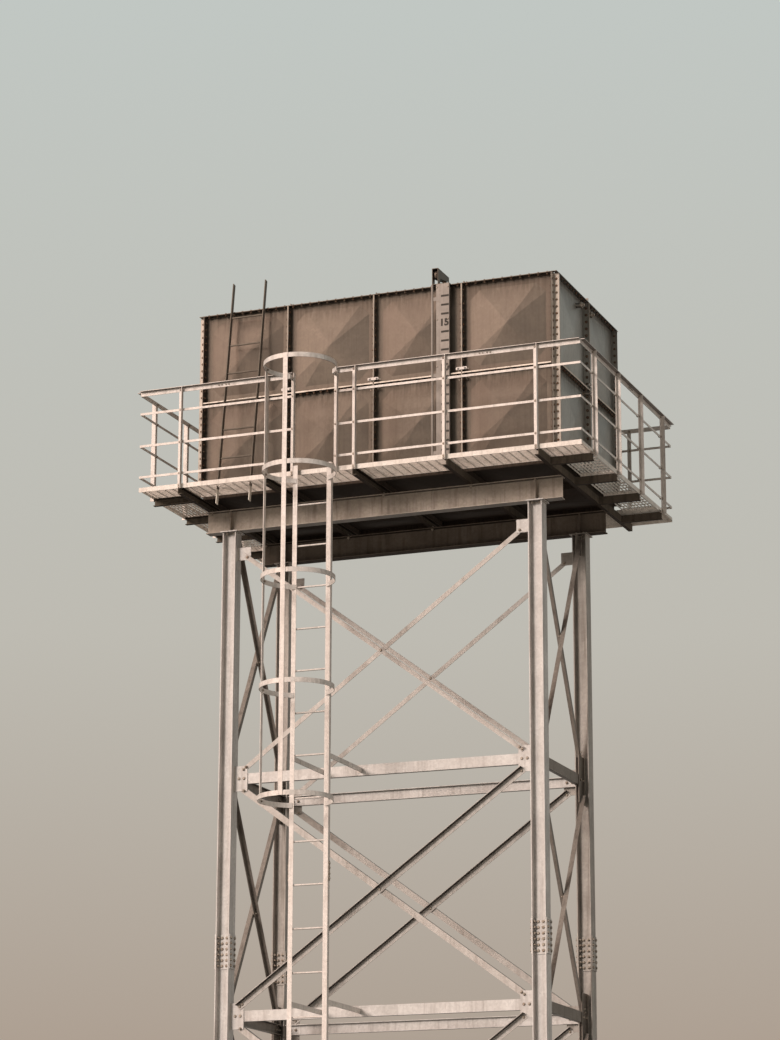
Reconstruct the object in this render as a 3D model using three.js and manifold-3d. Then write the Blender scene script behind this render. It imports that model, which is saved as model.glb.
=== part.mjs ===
// Water tower: a sectional tank of bolted pressed-steel panels on a braced
// four-legged steel tower, with a walkway, handrails, a caged ladder, a ladder
// up the tank side and a level gauge board.
// Millimetres, +Z up, -Y is the front. The tower stands on z = 0.

import * as THREE from 'three';
import { mergeVertices } from 'three/addons/utils/BufferGeometryUtils.js';
import Module from 'manifold-3d';

const wasm = await Module();
wasm.setup();

// Tank of square panels with flanges that point outwards
const panel = 1000;
const panelsLong = 4;
const panelsDeep = 2;
const tiers = 2;
const plate = 5;
const flangeDepth = 70;
const flangePlate = 6;
const crossStep = 2;
const pressingMargin = 70;
const pressingCorner = 110;
const pressingHeight = 60;

// Tower: four legs, three rings of horizontal members. Its middle stands a little
// to the left of and in front of the tank's.
const legSpacingX = 3475;
const legSpacingY = 1450;
const steelX = -26;
const steelY = -25;
const legTop = 10160;
const bayHeight = 2486;
const rings = 3;
const legSize = 152;
const legFlange = 10;
const legWeb = 7;
const basePlate = { size: 340, thickness: 25 };
const capPlate = { size: 200, thickness: 12 };
const splice = { middle: 5640, length: 360, plate: 10, width: 140, webWidth: 90 };
const gusset = { width: 150, height: 270, endHeight: 140, fromEnd: 250, thickness: 10 };
const sideGusset = { edge: 535, height: 500, endHeight: 200, fromEnd: 130 };
const ring = { depth: 110, width: 50, thickness: 7, endPlay: 5, sideEndPlay: 12 };
const faceBrace = {
  leg: 65, topLeg: 50, thickness: 6, endInset: 90, above: 86, below: 111, fromEnd: 275,
};
const sideBrace = {
  leg: 50, thickness: 5, endAt: 620, above: 30, below: 180, topBayAbove: 242, fromEnd: 100,
};

// Beams under the tank
const mainBeam = { depth: 240, width: 120, web: 7, flange: 10, overhang: 285 };
const joist = { depth: 80, width: 45, thickness: 7 };

// Walkway and handrail
const walkwayFront = 1590;
const walkwaySide = 2480;
const grating = 30;
const nosing = { depth: 50, thickness: 5 };
const sideArms = [-1200, -400, 400, 1200];
const rail = { height: 1065, leg: 45, thickness: 5, kneeDepth: 25, kneeHeights: [115, 460, 820] };
const postLeg = 45;

// Access ladder and its cage
const ladderX = -450;
const ladderHalf = 190;
const ladderFoot = 200;
const ladderTopAboveDeck = 40;
const stile = { leg: 50, thickness: 5 };
const ladderBracket = { depth: 50, thickness: 6, pad: 45, padThickness: 7, overlap: 12 };
const rungRadius = 10;
const rungPitch = 441;
const firstRung = 420;
const openingHalf = 245;
const hoopRadius = 380;
const hoopCentreY = -1980;
const hoop = { depth: 50, thickness: 6, count: 5, top: 11520, pitch: 1140, segments: 20 };

// Ladder up the tank side
const tankLadder = {
  x: -1460, half: 190, foot: 10300, top: 12880, footY: -1400, depth: 50, thickness: 8, pitch: 330,
};

// Level gauge
const gauge = {
  x: 800, width: 147, plate: 6, standOff: 25, aboveDeck: 20, tubeX: 681, tubeRadius: 13,
  strapHalf: 20, strapThickness: 6, straps: [0.08, 0.5, 0.92],
};
const gaugeHood = {
  x: 714, width: 68, height: 180, length: 336, cheek: 5, foot: 6, footLength: 150, pillar: 72,
  armFront: 85, armBack: 135, wheelWidth: 24, frontWheel: 48, backWheel: 34, wheelClear: 14,
  axleRadius: 8,
};

const manhole = { x: -1460, y: -500, size: 600, curb: 60, sheet: 5, rim: 30 };
const socket = { radius: 28, length: 80, below: 120, places: [-260, 85] };
const lug = { from: 20, to: 60, below: 20, above: 45 };

const gap = 0.3;
const bite = 1;

// Levels and half sizes that follow from the above
const tankX = (panelsLong * panel) / 2;
const tankY = (panelsDeep * panel) / 2;
const beamBottom = legTop + gap;
const joistBottom = beamBottom + mainBeam.depth + gap;
const joistTop = joistBottom + joist.depth;
const floorBottom = joistTop + gap;
const floorPlateBottom = floorBottom + flangeDepth;
const wallBottom = floorPlateBottom + plate + gap;
const wallTop = wallBottom + tiers * panel - plate - gap;
const deckBottom = joistTop + gap;
const deckTop = deckBottom + grating;
const legX = legSpacingX / 2;
const legY = legSpacingY / 2;
const innerFlangeX = legX - legSize / 2;
const ringLevels = Array.from({ length: rings }, (_, i) => (i + 1) * bayHeight);
const stileFaceY = -walkwayFront - gap - stile.leg;

// The cage reaches further to the front than the walkway does to the back, so the
// whole is moved to sit centred.
const strapReach = hoopRadius + hoop.thickness * 1.5 - bite;
const frontReach = -hoopCentreY + strapReach;
const backReach = walkwayFront + gap + postLeg;
const shiftY = (frontReach - backReach) / 2;

const galvanised = { color: 0xb9b2a6, roughness: 0.55, metalness: 0.6 };
const panelSteel = { color: 0x8c7c6c, roughness: 0.6, metalness: 0.5 };
const darkSteel = { color: 0x6f675d, roughness: 0.65, metalness: 0.5 };
const meshSteel = { color: 0xa39c90, roughness: 0.6, metalness: 0.6 };
const boardPaint = { color: 0xcfc6b8, roughness: 0.5, metalness: 0.1 };

// Box between given planes. Its corners hold those very values, so that blocks
// which share a plane share it exactly.
function block(x0, x1, y0, y1, z0, z1) {
  const geometry = new THREE.BoxGeometry(1, 1, 1);
  const points = geometry.attributes.position;
  for (let i = 0; i < points.count; i += 1) {
    points.setXYZ(i,
      points.getX(i) < 0 ? Math.min(x0, x1) : Math.max(x0, x1),
      points.getY(i) < 0 ? Math.min(y0, y1) : Math.max(y0, y1),
      points.getZ(i) < 0 ? Math.min(z0, z1) : Math.max(z0, z1));
  }
  return geometry;
}

// Rod between two points, with few sides
function rod(radius, from, to, sides = 8) {
  const start = new THREE.Vector3(...from);
  const end = new THREE.Vector3(...to);
  const along = end.clone().sub(start);
  const geometry = new THREE.CylinderGeometry(radius, radius, along.length(), sides);
  const turn = new THREE.Quaternion().setFromUnitVectors(
    new THREE.Vector3(0, 1, 0), along.clone().normalize());
  geometry.applyQuaternion(turn);
  const middle = start.add(end).multiplyScalar(0.5);
  geometry.translate(middle.x, middle.y, middle.z);
  return geometry;
}

function outline(points) {
  return new THREE.Shape(points.map(([x, y]) => new THREE.Vector2(x, y)));
}

// Angle section with its heel at 0, 0. A negative leg points the other way.
function angleSection(legA, legB, thickness) {
  const a = Math.sign(legA) * thickness;
  const b = Math.sign(legB) * thickness;
  return outline([[0, 0], [legA, 0], [legA, b], [a, b], [a, legB], [0, legB]]);
}

// Channel section: the web lies on x = 0, the toes point along x
function channelSection(depth, toes, thickness) {
  const t = Math.sign(toes) * thickness;
  const h = depth / 2;
  return outline([
    [0, -h], [toes, -h], [toes, thickness - h], [t, thickness - h],
    [t, h - thickness], [toes, h - thickness], [toes, h], [0, h],
  ]);
}

// I section with its flanges above and below
function beamSection(width, depth, web, flange) {
  const w = width / 2;
  const h = depth / 2;
  const c = web / 2;
  const f = h - flange;
  return outline([
    [-w, -h], [w, -h], [w, -f], [c, -f], [c, f], [w, f],
    [w, h], [-w, h], [-w, f], [-c, f], [-c, -f], [-w, -f],
  ]);
}

// A section run from one point to another, its y axis turned towards up
function member(section, from, to, up) {
  const start = new THREE.Vector3(...from);
  const along = new THREE.Vector3(...to).sub(start);
  const length = along.length();
  const zAxis = along.normalize();
  const yAxis = new THREE.Vector3(...up);
  yAxis.addScaledVector(zAxis, -yAxis.dot(zAxis)).normalize();
  const xAxis = new THREE.Vector3().crossVectors(yAxis, zAxis);
  const geometry = new THREE.ExtrudeGeometry(section, { depth: length, bevelEnabled: false });
  geometry.applyMatrix4(new THREE.Matrix4().makeBasis(xAxis, yAxis, zAxis).setPosition(start));
  return geometry;
}

function solid(geometry) {
  const bare = geometry.clone();
  bare.deleteAttribute('normal');
  bare.deleteAttribute('uv');
  const merged = mergeVertices(bare, 1e-3);
  return new wasm.Manifold(new wasm.Mesh({
    numProp: 3,
    vertProperties: new Float32Array(merged.attributes.position.array),
    triVerts: new Uint32Array(merged.index.array),
  }));
}

// One body from several overlapping shapes, less the cuts
function join(shapes, cuts = []) {
  let body = solid(shapes[0]);
  for (const shape of shapes.slice(1)) body = body.add(solid(shape));
  for (const cut of cuts) body = body.subtract(solid(cut));
  const mesh = body.getMesh();
  const geometry = new THREE.BufferGeometry();
  geometry.setAttribute('position', new THREE.BufferAttribute(mesh.vertProperties, 3));
  geometry.setIndex(new THREE.BufferAttribute(mesh.triVerts, 1));
  geometry.computeVertexNormals();
  return geometry;
}

const tower = new THREE.Group();
tower.position.y = shiftY;

function add(name, geometry, finish) {
  const mesh = new THREE.Mesh(geometry, new THREE.MeshStandardMaterial(finish));
  mesh.name = name;
  tower.add(mesh);
}

// Steelwork under the tank, made around the middle of the four legs
function addSteel(name, geometry) {
  geometry.translate(steelX, steelY, 0);
  add(name, geometry, galvanised);
}

// Leg: an H section with its web along the long side of the tower, on a base
// plate, spliced once, with gussets for the front or back bracing.
function leg(sideX, sideY) {
  const x = sideX * legX;
  const y = sideY * legY;
  const half = legSize / 2;
  const topOfSteel = legTop - capPlate.thickness;
  const section = beamSection(legSize, legSize, legWeb, legFlange);
  const shapes = [
    member(section, [x, y, basePlate.thickness - bite], [x, y, topOfSteel + bite], [1, 0, 0]),
    block(x - basePlate.size / 2, x + basePlate.size / 2, y - basePlate.size / 2,
      y + basePlate.size / 2, 0, basePlate.thickness),
    block(x - capPlate.size / 2, x + capPlate.size / 2, y - capPlate.size / 2,
      y + capPlate.size / 2, topOfSteel, legTop),
  ];
  const spliceLow = splice.middle - splice.length / 2;
  const spliceHigh = splice.middle + splice.length / 2;
  for (const side of [-1, 1]) {
    shapes.push(block(x + side * (half - bite), x + side * (half + splice.plate),
      y - splice.width / 2, y + splice.width / 2, spliceLow, spliceHigh));
    shapes.push(block(x - splice.webWidth / 2, x + splice.webWidth / 2,
      y + side * (legWeb / 2 - bite), y + side * (legWeb / 2 + splice.plate), spliceLow, spliceHigh));
  }
  for (const [low, high] of gussetSpans(gusset)) {
    shapes.push(block(x - sideX * (half - bite), x - sideX * (half + gusset.width),
      y - gusset.thickness / 2, y + gusset.thickness / 2, low, high));
  }
  return join(shapes);
}

// Lower and upper edges of the gussets on a leg: one near each end and one at
// every ring
function gussetSpans({ height, endHeight, fromEnd }) {
  const span = (middle, size) => [middle - size / 2, middle + size / 2];
  return [span(fromEnd, endHeight), ...ringLevels.map((z) => span(z, height)),
    span(legTop - fromEnd, endHeight)];
}

// Where the diagonals of each bay start and end in height
function bays({ above, below, topBayAbove = above, fromEnd }) {
  return Array.from({ length: rings + 1 }, (_, i) => [
    i === 0 ? fromEnd : ringLevels[i - 1] + (i === rings ? topBayAbove : above),
    i === rings ? legTop - fromEnd : ringLevels[i] - below,
  ]);
}

// Horizontal member of the front or back face, behind the gussets
function faceRing(sideY, z) {
  const end = innerFlangeX - ring.endPlay;
  const y = sideY * (legY - gusset.thickness / 2 - gap);
  const section = channelSection(ring.depth, -sideY * ring.width, ring.thickness);
  return member(section, [-end, y, z], [end, y, z], [0, 0, 1]);
}

// Diagonal angle of the front or back face, bolted to the side of the gussets that
// towards gives along y, with its standing leg on top and pointing that way too.
function faceDiagonal(leg, sideY, low, high, rising, towards) {
  const end = innerFlangeX - faceBrace.endInset;
  const y = sideY * legY + towards * (gusset.thickness / 2 + gap);
  const from = [-end, y, rising ? low : high];
  const to = [end, y, rising ? high : low];
  const slope = Math.atan2(to[2] - from[2], to[0] - from[0]);
  const lift = leg / 2;
  const heel = [-Math.sin(slope) * lift, 0, Math.cos(slope) * lift];
  const section = angleSection(towards * leg, -leg, faceBrace.thickness);
  const shift = (point) => point.map((value, i) => value + heel[i]);
  return member(section, shift(from), shift(to), [0, 0, 1]);
}

// Narrow side of the tower: gussets, three channels and eight angles in one
function sideBracing(sideX) {
  const webFace = legY - legWeb / 2 - gap;
  const half = gusset.thickness / 2;
  const shapes = [];
  for (const sideY of [-1, 1]) {
    for (const [low, high] of gussetSpans(sideGusset)) {
      shapes.push(block(sideX * (legX - half), sideX * (legX + half),
        sideY * sideGusset.edge, sideY * webFace, low, high));
    }
  }
  const channelX = sideX * (legX - half + bite);
  const channel = channelSection(ring.depth, sideX * ring.width, ring.thickness);
  const channelEnd = webFace - ring.sideEndPlay;
  for (const z of ringLevels) {
    shapes.push(member(channel, [channelX, -channelEnd, z], [channelX, channelEnd, z], [0, 0, 1]));
  }
  for (const [low, high] of bays(sideBrace)) {
    for (const outwards of [1, -1]) {
      const x = sideX * (legX + outwards * (half - bite));
      const from = [x, -outwards * sideBrace.endAt, low];
      const to = [x, outwards * sideBrace.endAt, high];
      const section = angleSection(-sideX * sideBrace.leg, -sideBrace.leg, sideBrace.thickness);
      const slope = Math.atan2(to[2] - from[2], to[1] - from[1]);
      const lift = sideBrace.leg / 2;
      const heel = [0, -Math.sin(slope) * lift * Math.sign(Math.cos(slope)),
        Math.abs(Math.cos(slope)) * lift];
      const shift = (point) => point.map((value, i) => value + heel[i]);
      shapes.push(member(section, shift(from), shift(to), [0, 0, 1]));
    }
  }
  return join(shapes);
}

function mainGirder(sideY) {
  const end = legX + mainBeam.overhang;
  const z = beamBottom + mainBeam.depth / 2;
  const section = beamSection(mainBeam.width, mainBeam.depth, mainBeam.web, mainBeam.flange);
  return member(section, [-end, sideY * legY, z], [end, sideY * legY, z], [0, 0, 1]);
}

// Joist under a row of panel joints, run out at both ends to carry the walkway.
// The end joists also carry short arms for the side walkways.
function crossJoist(index) {
  const x = -tankX + index * panel;
  const toes = x > 0 ? -1 : 1;
  const z = joistBottom + joist.depth / 2;
  const reach = walkwayFront - nosing.thickness - gap;
  const section = channelSection(joist.depth, -toes * joist.width, joist.thickness);
  const heel = x - toes * joist.width / 2;
  const shapes = [member(section, [heel, -reach, z], [heel, reach, z], [0, 0, 1])];
  if (Math.abs(x) === tankX) {
    const side = Math.sign(x);
    const armEnd = walkwaySide - nosing.thickness - gap;
    const armSection = channelSection(joist.depth, joist.width, joist.thickness);
    for (const y of sideArms) {
      shapes.push(member(armSection, [heel - side * bite, y, z], [side * armEnd, y, z], [0, 0, 1]));
    }
  }
  return join(shapes);
}

// Closed pyramid over a square with cut corners, its base on z = 0
function pyramid(sizeX, sizeY, corner, height) {
  const x = sizeX / 2;
  const y = sizeY / 2;
  const rim = [
    [x, y - corner], [x - corner, y], [-x + corner, y], [-x, y - corner],
    [-x, -y + corner], [-x + corner, -y], [x - corner, -y], [x, -y + corner],
  ];
  const points = [...rim.map(([px, py]) => [px, py, 0]), [0, 0, height], [0, 0, 0]];
  const apex = rim.length;
  const middle = rim.length + 1;
  const faces = rim.flatMap((_, i) => {
    const next = (i + 1) % rim.length;
    return [i, next, apex, next, i, middle];
  });
  const geometry = new THREE.BufferGeometry();
  geometry.setAttribute('position', new THREE.Float32BufferAttribute(points.flat(), 3));
  geometry.setIndex(faces);
  return geometry;
}

// Sheet of pressed panels lying on z = 0 with its flanges pointing up. joints
// lists the flange lines along each axis, and each field between them is pressed.
// The flanges across are a step lower. lip is how far the sheet runs out past
// its outer flanges.
function pressedSheet(width, height, jointsX, jointsY, lip = 0) {
  const halfX = width / 2 + lip;
  const halfY = height / 2 + lip;
  const shapes = [block(-halfX, halfX, -halfY, halfY, 0, plate)];
  const cuts = [];
  for (const [at, thickness] of jointsX) {
    const end = height / 2 - (thickness > flangePlate ? bite : 0);
    shapes.push(block(at - thickness / 2, at + thickness / 2, -end, end,
      plate - bite, plate + flangeDepth));
  }
  for (const [at, thickness] of jointsY) {
    const end = width / 2 - bite;
    shapes.push(block(-end, end, at - thickness / 2, at + thickness / 2,
      plate - bite, plate + flangeDepth - crossStep));
  }
  for (let i = 0; i + 1 < jointsX.length; i += 1) {
    for (let j = 0; j + 1 < jointsY.length; j += 1) {
      const sizeX = jointsX[i + 1][0] - jointsX[i][0] - 2 * pressingMargin;
      const sizeY = jointsY[j + 1][0] - jointsY[j][0] - 2 * pressingMargin;
      const x = (jointsX[i][0] + jointsX[i + 1][0]) / 2;
      const y = (jointsY[j][0] + jointsY[j + 1][0]) / 2;
      const outer = pyramid(sizeX, sizeY, pressingCorner, pressingHeight + bite);
      outer.translate(x, y, plate - bite);
      shapes.push(outer);
      const inner = pyramid(sizeX, sizeY, pressingCorner, pressingHeight + bite);
      inner.translate(x, y, -bite);
      cuts.push(inner);
    }
  }
  return { shapes, cuts };
}

// Joint lines across a sheet: single flanges at both ends, double ones between
function jointLines(count, length) {
  return Array.from({ length: count + 1 }, (_, i) => {
    const edge = i === 0 || i === count;
    const at = -length / 2 + (i * length) / count;
    const inset = edge ? (flangePlate / 2) * Math.sign(-at) : 0;
    return [at + inset, edge ? flangePlate : 2 * flangePlate];
  });
}

// Wall standing at x, y, its flanges turned to face the way that turn gives
function wall(length, count, x, y, turn, extras = []) {
  const height = wallTop - wallBottom;
  const { shapes, cuts } = pressedSheet(length, height, jointLines(count, length),
    jointLines(tiers, height));
  const place = new THREE.Matrix4().makeTranslation(x, y, wallBottom + height / 2)
    .multiply(new THREE.Matrix4().makeRotationZ(turn))
    .multiply(new THREE.Matrix4().makeRotationX(Math.PI / 2));
  for (const shape of [...shapes, ...cuts]) shape.applyMatrix4(place);
  return join([...shapes, ...extras], cuts);
}

// Two pipe sockets under the top flange and a lug on the middle joint
function rightWallFittings() {
  const z = wallTop - socket.below;
  const sockets = socket.places.map((y) => rod(socket.radius, [tankX - bite, y, z],
    [tankX + socket.length, y, z], 12));
  const lugPlate = block(tankX + lug.from, tankX + lug.to, -flangePlate, flangePlate,
    wallTop - lug.below, wallTop + lug.above);
  return [...sockets, lugPlate];
}

function tankFloor() {
  const { shapes, cuts } = pressedSheet(2 * tankX, 2 * tankY, jointLines(panelsLong, 2 * tankX),
    jointLines(panelsDeep, 2 * tankY), flangeDepth);
  const place = new THREE.Matrix4().makeTranslation(0, 0, floorPlateBottom + plate)
    .multiply(new THREE.Matrix4().makeRotationX(Math.PI));
  for (const shape of [...shapes, ...cuts]) shape.applyMatrix4(place);
  return join(shapes, cuts);
}

const roofBottom = wallTop + gap;
const roofTop = roofBottom + manhole.sheet;

// Flat cover with upstanding seams over the panel joints and a manhole curb
function roof() {
  const half = manhole.size / 2;
  const seam = 40;
  const edge = 8;
  const { x, y, curb, sheet } = manhole;
  const shapes = [
    block(-tankX - edge, tankX + edge, -tankY - edge, tankY + edge, roofBottom, roofTop),
    block(-tankX, tankX, -sheet, sheet, roofTop - bite, roofTop + seam),
    block(x - half - sheet, x + half + sheet, y - half - sheet, y + half + sheet,
      roofTop - bite, roofTop + curb),
  ];
  for (let i = 1; i < panelsLong; i += 1) {
    const at = -tankX + i * panel;
    shapes.push(block(at - sheet, at + sheet, -tankY, tankY, roofTop - bite,
      roofTop + seam - crossStep));
  }
  return join(shapes, [block(x - half, x + half, y - half, y + half,
    roofBottom - bite, roofTop + curb + bite)]);
}

function manholeLid() {
  const { x, y, size, curb, sheet, rim } = manhole;
  const half = size / 2 + 3 * sheet;
  const low = roofTop + curb + gap;
  const inside = half - sheet;
  return join([block(x - half, x + half, y - half, y + half, low - rim, low + sheet)],
    [block(x - inside, x + inside, y - inside, y + inside, low - rim - bite, low)]);
}

// Front or back walkway, the full length, with a nosing along its outer edge.
// slots are cut where the tank ladder passes through.
function longDeck(sideY, slots = []) {
  const inner = tankY + flangeDepth + 5;
  const edge = walkwayFront - nosing.thickness;
  return join([
    block(-walkwaySide, walkwaySide, sideY * inner, sideY * (edge + bite), deckBottom, deckTop),
    block(-walkwaySide, walkwaySide, sideY * edge, sideY * walkwayFront,
      deckTop - nosing.depth, deckTop),
  ], slots);
}

function sideDeck(sideX) {
  const inner = tankX + flangeDepth + 5;
  const end = tankY + flangeDepth + 5 - gap;
  const edge = walkwaySide - nosing.thickness;
  return join([
    block(sideX * inner, sideX * (edge + bite), -end, end, deckBottom, deckTop),
    block(sideX * edge, sideX * walkwaySide, -end, end, deckTop - nosing.depth, deckTop),
  ]);
}

// Handrail along a straight edge, built along x facing -y, then turned to place
function handrail(from, to, posts, turn) {
  const face = walkwayOffset(turn);
  const foot = deckTop - nosing.depth;
  const top = deckTop + rail.height;
  const t = rail.thickness;
  const postBack = -face - gap;
  const railBack = -face + t;
  const shapes = [
    block(from, to, postBack - bite, railBack, top - rail.leg, top),
    block(from, to, postBack - postLeg, railBack, top - bite, top - bite + t),
  ];
  for (const height of rail.kneeHeights) {
    const z = deckTop + height;
    shapes.push(block(from, to, postBack - bite, railBack, z - rail.kneeDepth / 2,
      z + rail.kneeDepth / 2));
  }
  for (const x of posts) {
    shapes.push(block(x - postLeg / 2, x + postLeg / 2, postBack - t, postBack, foot, top));
    shapes.push(block(x + postLeg / 2 - t, x + postLeg / 2, postBack - postLeg, postBack, foot, top));
  }
  const geometry = join(shapes);
  geometry.rotateZ(turn);
  return geometry;
}

// Distance of the walkway edge from the middle on the side that turn faces
function walkwayOffset(turn) {
  return Math.abs(Math.sin(turn)) > 0.5 ? walkwaySide : walkwayFront;
}

// Access ladder: two angles with round rungs, stood off the ring members
function accessLadder() {
  const shapes = [];
  const top = deckTop + ladderTopAboveDeck;
  const ringFace = steelY - legY + gusset.thickness / 2;
  const { depth, thickness, pad, padThickness, overlap } = ladderBracket;
  for (const side of [-1, 1]) {
    const heel = ladderX + side * (ladderHalf + stile.leg / 2);
    const section = angleSection(-side * stile.leg, stile.leg, stile.thickness);
    shapes.push(member(section, [heel, stileFaceY, ladderFoot], [heel, stileFaceY, top], [0, 1, 0]));
    for (const z of ringLevels) {
      const armX = heel - side * stile.thickness;
      shapes.push(block(heel - side * bite, armX - side * thickness,
        stileFaceY + stile.leg - overlap, ringFace - thickness, z - depth / 2, z + depth / 2));
      shapes.push(block(heel - side * bite, armX - side * pad, ringFace - padThickness, ringFace,
        z - depth / 2, z + depth / 2));
    }
  }
  const rungY = stileFaceY + stile.leg / 2;
  const reach = ladderHalf + stile.leg / 2 - stile.thickness / 2;
  for (let z = firstRung; z < deckTop; z += rungPitch) {
    shapes.push(rod(rungRadius, [ladderX - reach, rungY, z], [ladderX + reach, rungY, z]));
  }
  return join(shapes);
}

// Hoop: a flat bar bent round the ladder from one stile to the other. The top
// hoop stops wider and has two tabs that reach back to the handrail posts.
function cageHoop(z, halfMouth, tabs) {
  const inner = hoopRadius - hoop.thickness / 2;
  const outer = hoopRadius + hoop.thickness / 2;
  const start = Math.acos(halfMouth / hoopRadius);
  const shape = new THREE.Shape();
  shape.absarc(0, 0, outer, start, Math.PI - start, true);
  shape.absarc(0, 0, inner, Math.PI - start, start, false);
  const geometry = new THREE.ExtrudeGeometry(shape, {
    depth: hoop.depth, bevelEnabled: false, curveSegments: hoop.segments,
  });
  geometry.translate(ladderX, hoopCentreY, z - hoop.depth / 2);
  const tabHalf = hoop.thickness / 2 + bite;
  const tabEnd = -walkwayFront - rail.thickness - 2 * gap;
  const tabStart = hoopCentreY + Math.sin(start) * hoopRadius;
  const tabShapes = tabs ? [-1, 1].map((side) => block(
    ladderX + side * halfMouth - tabHalf, ladderX + side * halfMouth + tabHalf,
    tabStart - tabHalf, tabEnd, z - hoop.depth / 2, z + hoop.depth / 2)) : [];
  return [geometry, ...tabShapes];
}

function ladderCage() {
  const mouth = Math.sqrt(hoopRadius ** 2 - (stileFaceY - gap - hoop.thickness / 2 - hoopCentreY) ** 2);
  const shapes = [];
  for (let i = 0; i < hoop.count; i += 1) {
    const z = hoop.top - i * hoop.pitch;
    shapes.push(...cageHoop(z, i === 0 ? openingHalf : mouth, i === 0));
  }
  const low = hoop.top - (hoop.count - 1) * hoop.pitch - hoop.depth / 2;
  const high = hoop.top + hoop.depth / 2;
  const skin = hoopRadius + hoop.thickness / 2 - bite;
  const half = hoop.depth / 2;
  shapes.push(block(ladderX - half, ladderX + half, hoopCentreY - skin,
    hoopCentreY - skin - hoop.thickness, low, high));
  shapes.push(block(ladderX - skin, ladderX - skin - hoop.thickness,
    hoopCentreY - half, hoopCentreY + half, low, high));
  return join(shapes);
}

// Stile of the tank ladder, grown all round by some play
function tankLadderStile(side, play) {
  const { x, half, foot, top, footY, depth, thickness } = tankLadder;
  const rimY = -tankY - flangeDepth - gap - depth / 2 - 2;
  const lean = (rimY - footY) / (wallTop - foot);
  const topY = footY + lean * (top - foot);
  const w = thickness / 2 + play;
  const d = depth / 2 + play;
  const section = outline([[-w, -d], [w, -d], [w, d], [-w, d]]);
  const at = x + side * half;
  return member(section, [at, footY, foot], [at, topY, top], [0, 1, 0]);
}

function tankSideLadder() {
  const { x, half, foot, top, footY, depth, pitch } = tankLadder;
  const rimY = -tankY - flangeDepth - gap - depth / 2 - 2;
  const lean = (rimY - footY) / (wallTop - foot);
  const shapes = [-1, 1].map((side) => tankLadderStile(side, 0));
  for (let z = wallTop - 80; z > deckTop + 150; z -= pitch) {
    const y = footY + lean * (z - foot);
    shapes.push(rod(rungRadius, [x - half, y, z], [x + half, y, z]));
  }
  return join(shapes);
}

// Gauge board: a tray resting on the flange tips, with the wire guide beside it
function gaugeBoard() {
  const { x, width, plate: sheet, standOff, tubeX, tubeRadius } = gauge;
  const back = -tankY - flangeDepth - gap;
  const face = back - standOff;
  const low = deckTop + gauge.aboveDeck;
  const high = roofTop + gap;
  const left = x - width / 2;
  const right = x + width / 2;
  const shapes = [
    block(left, right, face - sheet, face, low, high),
    block(left, left + sheet, face - bite, back, low, high),
    block(right - sheet, right, face - bite, back, low, high),
    rod(tubeRadius, [tubeX, face, low], [tubeX, face, high]),
  ];
  const strap = gauge.strapThickness / 2;
  for (const part of gauge.straps) {
    const z = low + part * (high - low);
    shapes.push(block(tubeX, left + bite, face - strap, face + strap,
      z - gauge.strapHalf, z + gauge.strapHalf));
  }
  return join(shapes);
}

// Hood over the guide tube: a pillar and an arm, each between two cheeks under one
// cover, on a foot plate, with the wheels that carry the wire to the tank
function gaugePulleyHood() {
  const { standOff, plate: sheet } = gauge;
  const front = -tankY - flangeDepth - gap - standOff - sheet;
  const back = front + gaugeHood.length;
  const low = roofTop + 2 * gap;
  const high = low + gaugeHood.height;
  const { x, width, cheek, foot, footLength, pillar, armFront, armBack } = gaugeHood;
  const { wheelWidth, frontWheel, backWheel, wheelClear, axleRadius } = gaugeHood;
  const left = x - width / 2;
  const right = x + width / 2;
  const end = gaugeHood.length - bite;
  const top = gaugeHood.height;
  const side = outline([[bite, foot - bite], [pillar, foot - bite], [pillar, armFront],
    [end, armBack], [end, top], [bite, top]]);
  const shapes = [
    block(left, gauge.x + gauge.width / 2, front, front + footLength, low, low + foot),
    member(side, [left, front, low], [left + cheek, front, low], [0, 0, 1]),
    member(side, [right - cheek, front, low], [right, front, low], [0, 0, 1]),
    block(left - bite, right + bite, front, back, high - bite, high + cheek),
  ];
  for (const [y, radius] of [[front + frontWheel + wheelClear, frontWheel],
    [back - backWheel - wheelClear, backWheel]]) {
    const z = high - radius - wheelClear;
    shapes.push(rod(radius, [x - wheelWidth / 2, y, z], [x + wheelWidth / 2, y, z], 16));
    shapes.push(rod(axleRadius, [left + bite, y, z], [right - bite, y, z]));
  }
  return join(shapes);
}

const sidesX = { left: -1, right: 1 };
const sidesY = { front: -1, back: 1 };

for (const [nameY, sideY] of Object.entries(sidesY)) {
  for (const [nameX, sideX] of Object.entries(sidesX)) {
    addSteel(`leg_${nameY}_${nameX}`, leg(sideX, sideY));
  }
  ringLevels.forEach((z, i) => addSteel(`ring_${i + 1}_${nameY}`, faceRing(sideY, z)));
  bays(faceBrace).forEach(([low, high], i) => {
    const front = i === rings ? 'falling' : 'rising';
    const leg = i === rings ? faceBrace.topLeg : faceBrace.leg;
    for (const way of ['rising', 'falling']) {
      addSteel(`brace_${i + 1}_${nameY}_${way}`,
        faceDiagonal(leg, sideY, low, high, way === 'rising', way === front ? -1 : 1));
    }
  });
  addSteel(`main_beam_${nameY}`, mainGirder(sideY));
}

for (const [nameX, sideX] of Object.entries(sidesX)) {
  addSteel(`side_bracing_${nameX}`, sideBracing(sideX));
  add(`walkway_${nameX}`, sideDeck(sideX), meshSteel);
}

for (let i = 0; i <= panelsLong; i += 1) {
  add(`joist_${i + 1}`, crossJoist(i), darkSteel);
}

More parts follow.
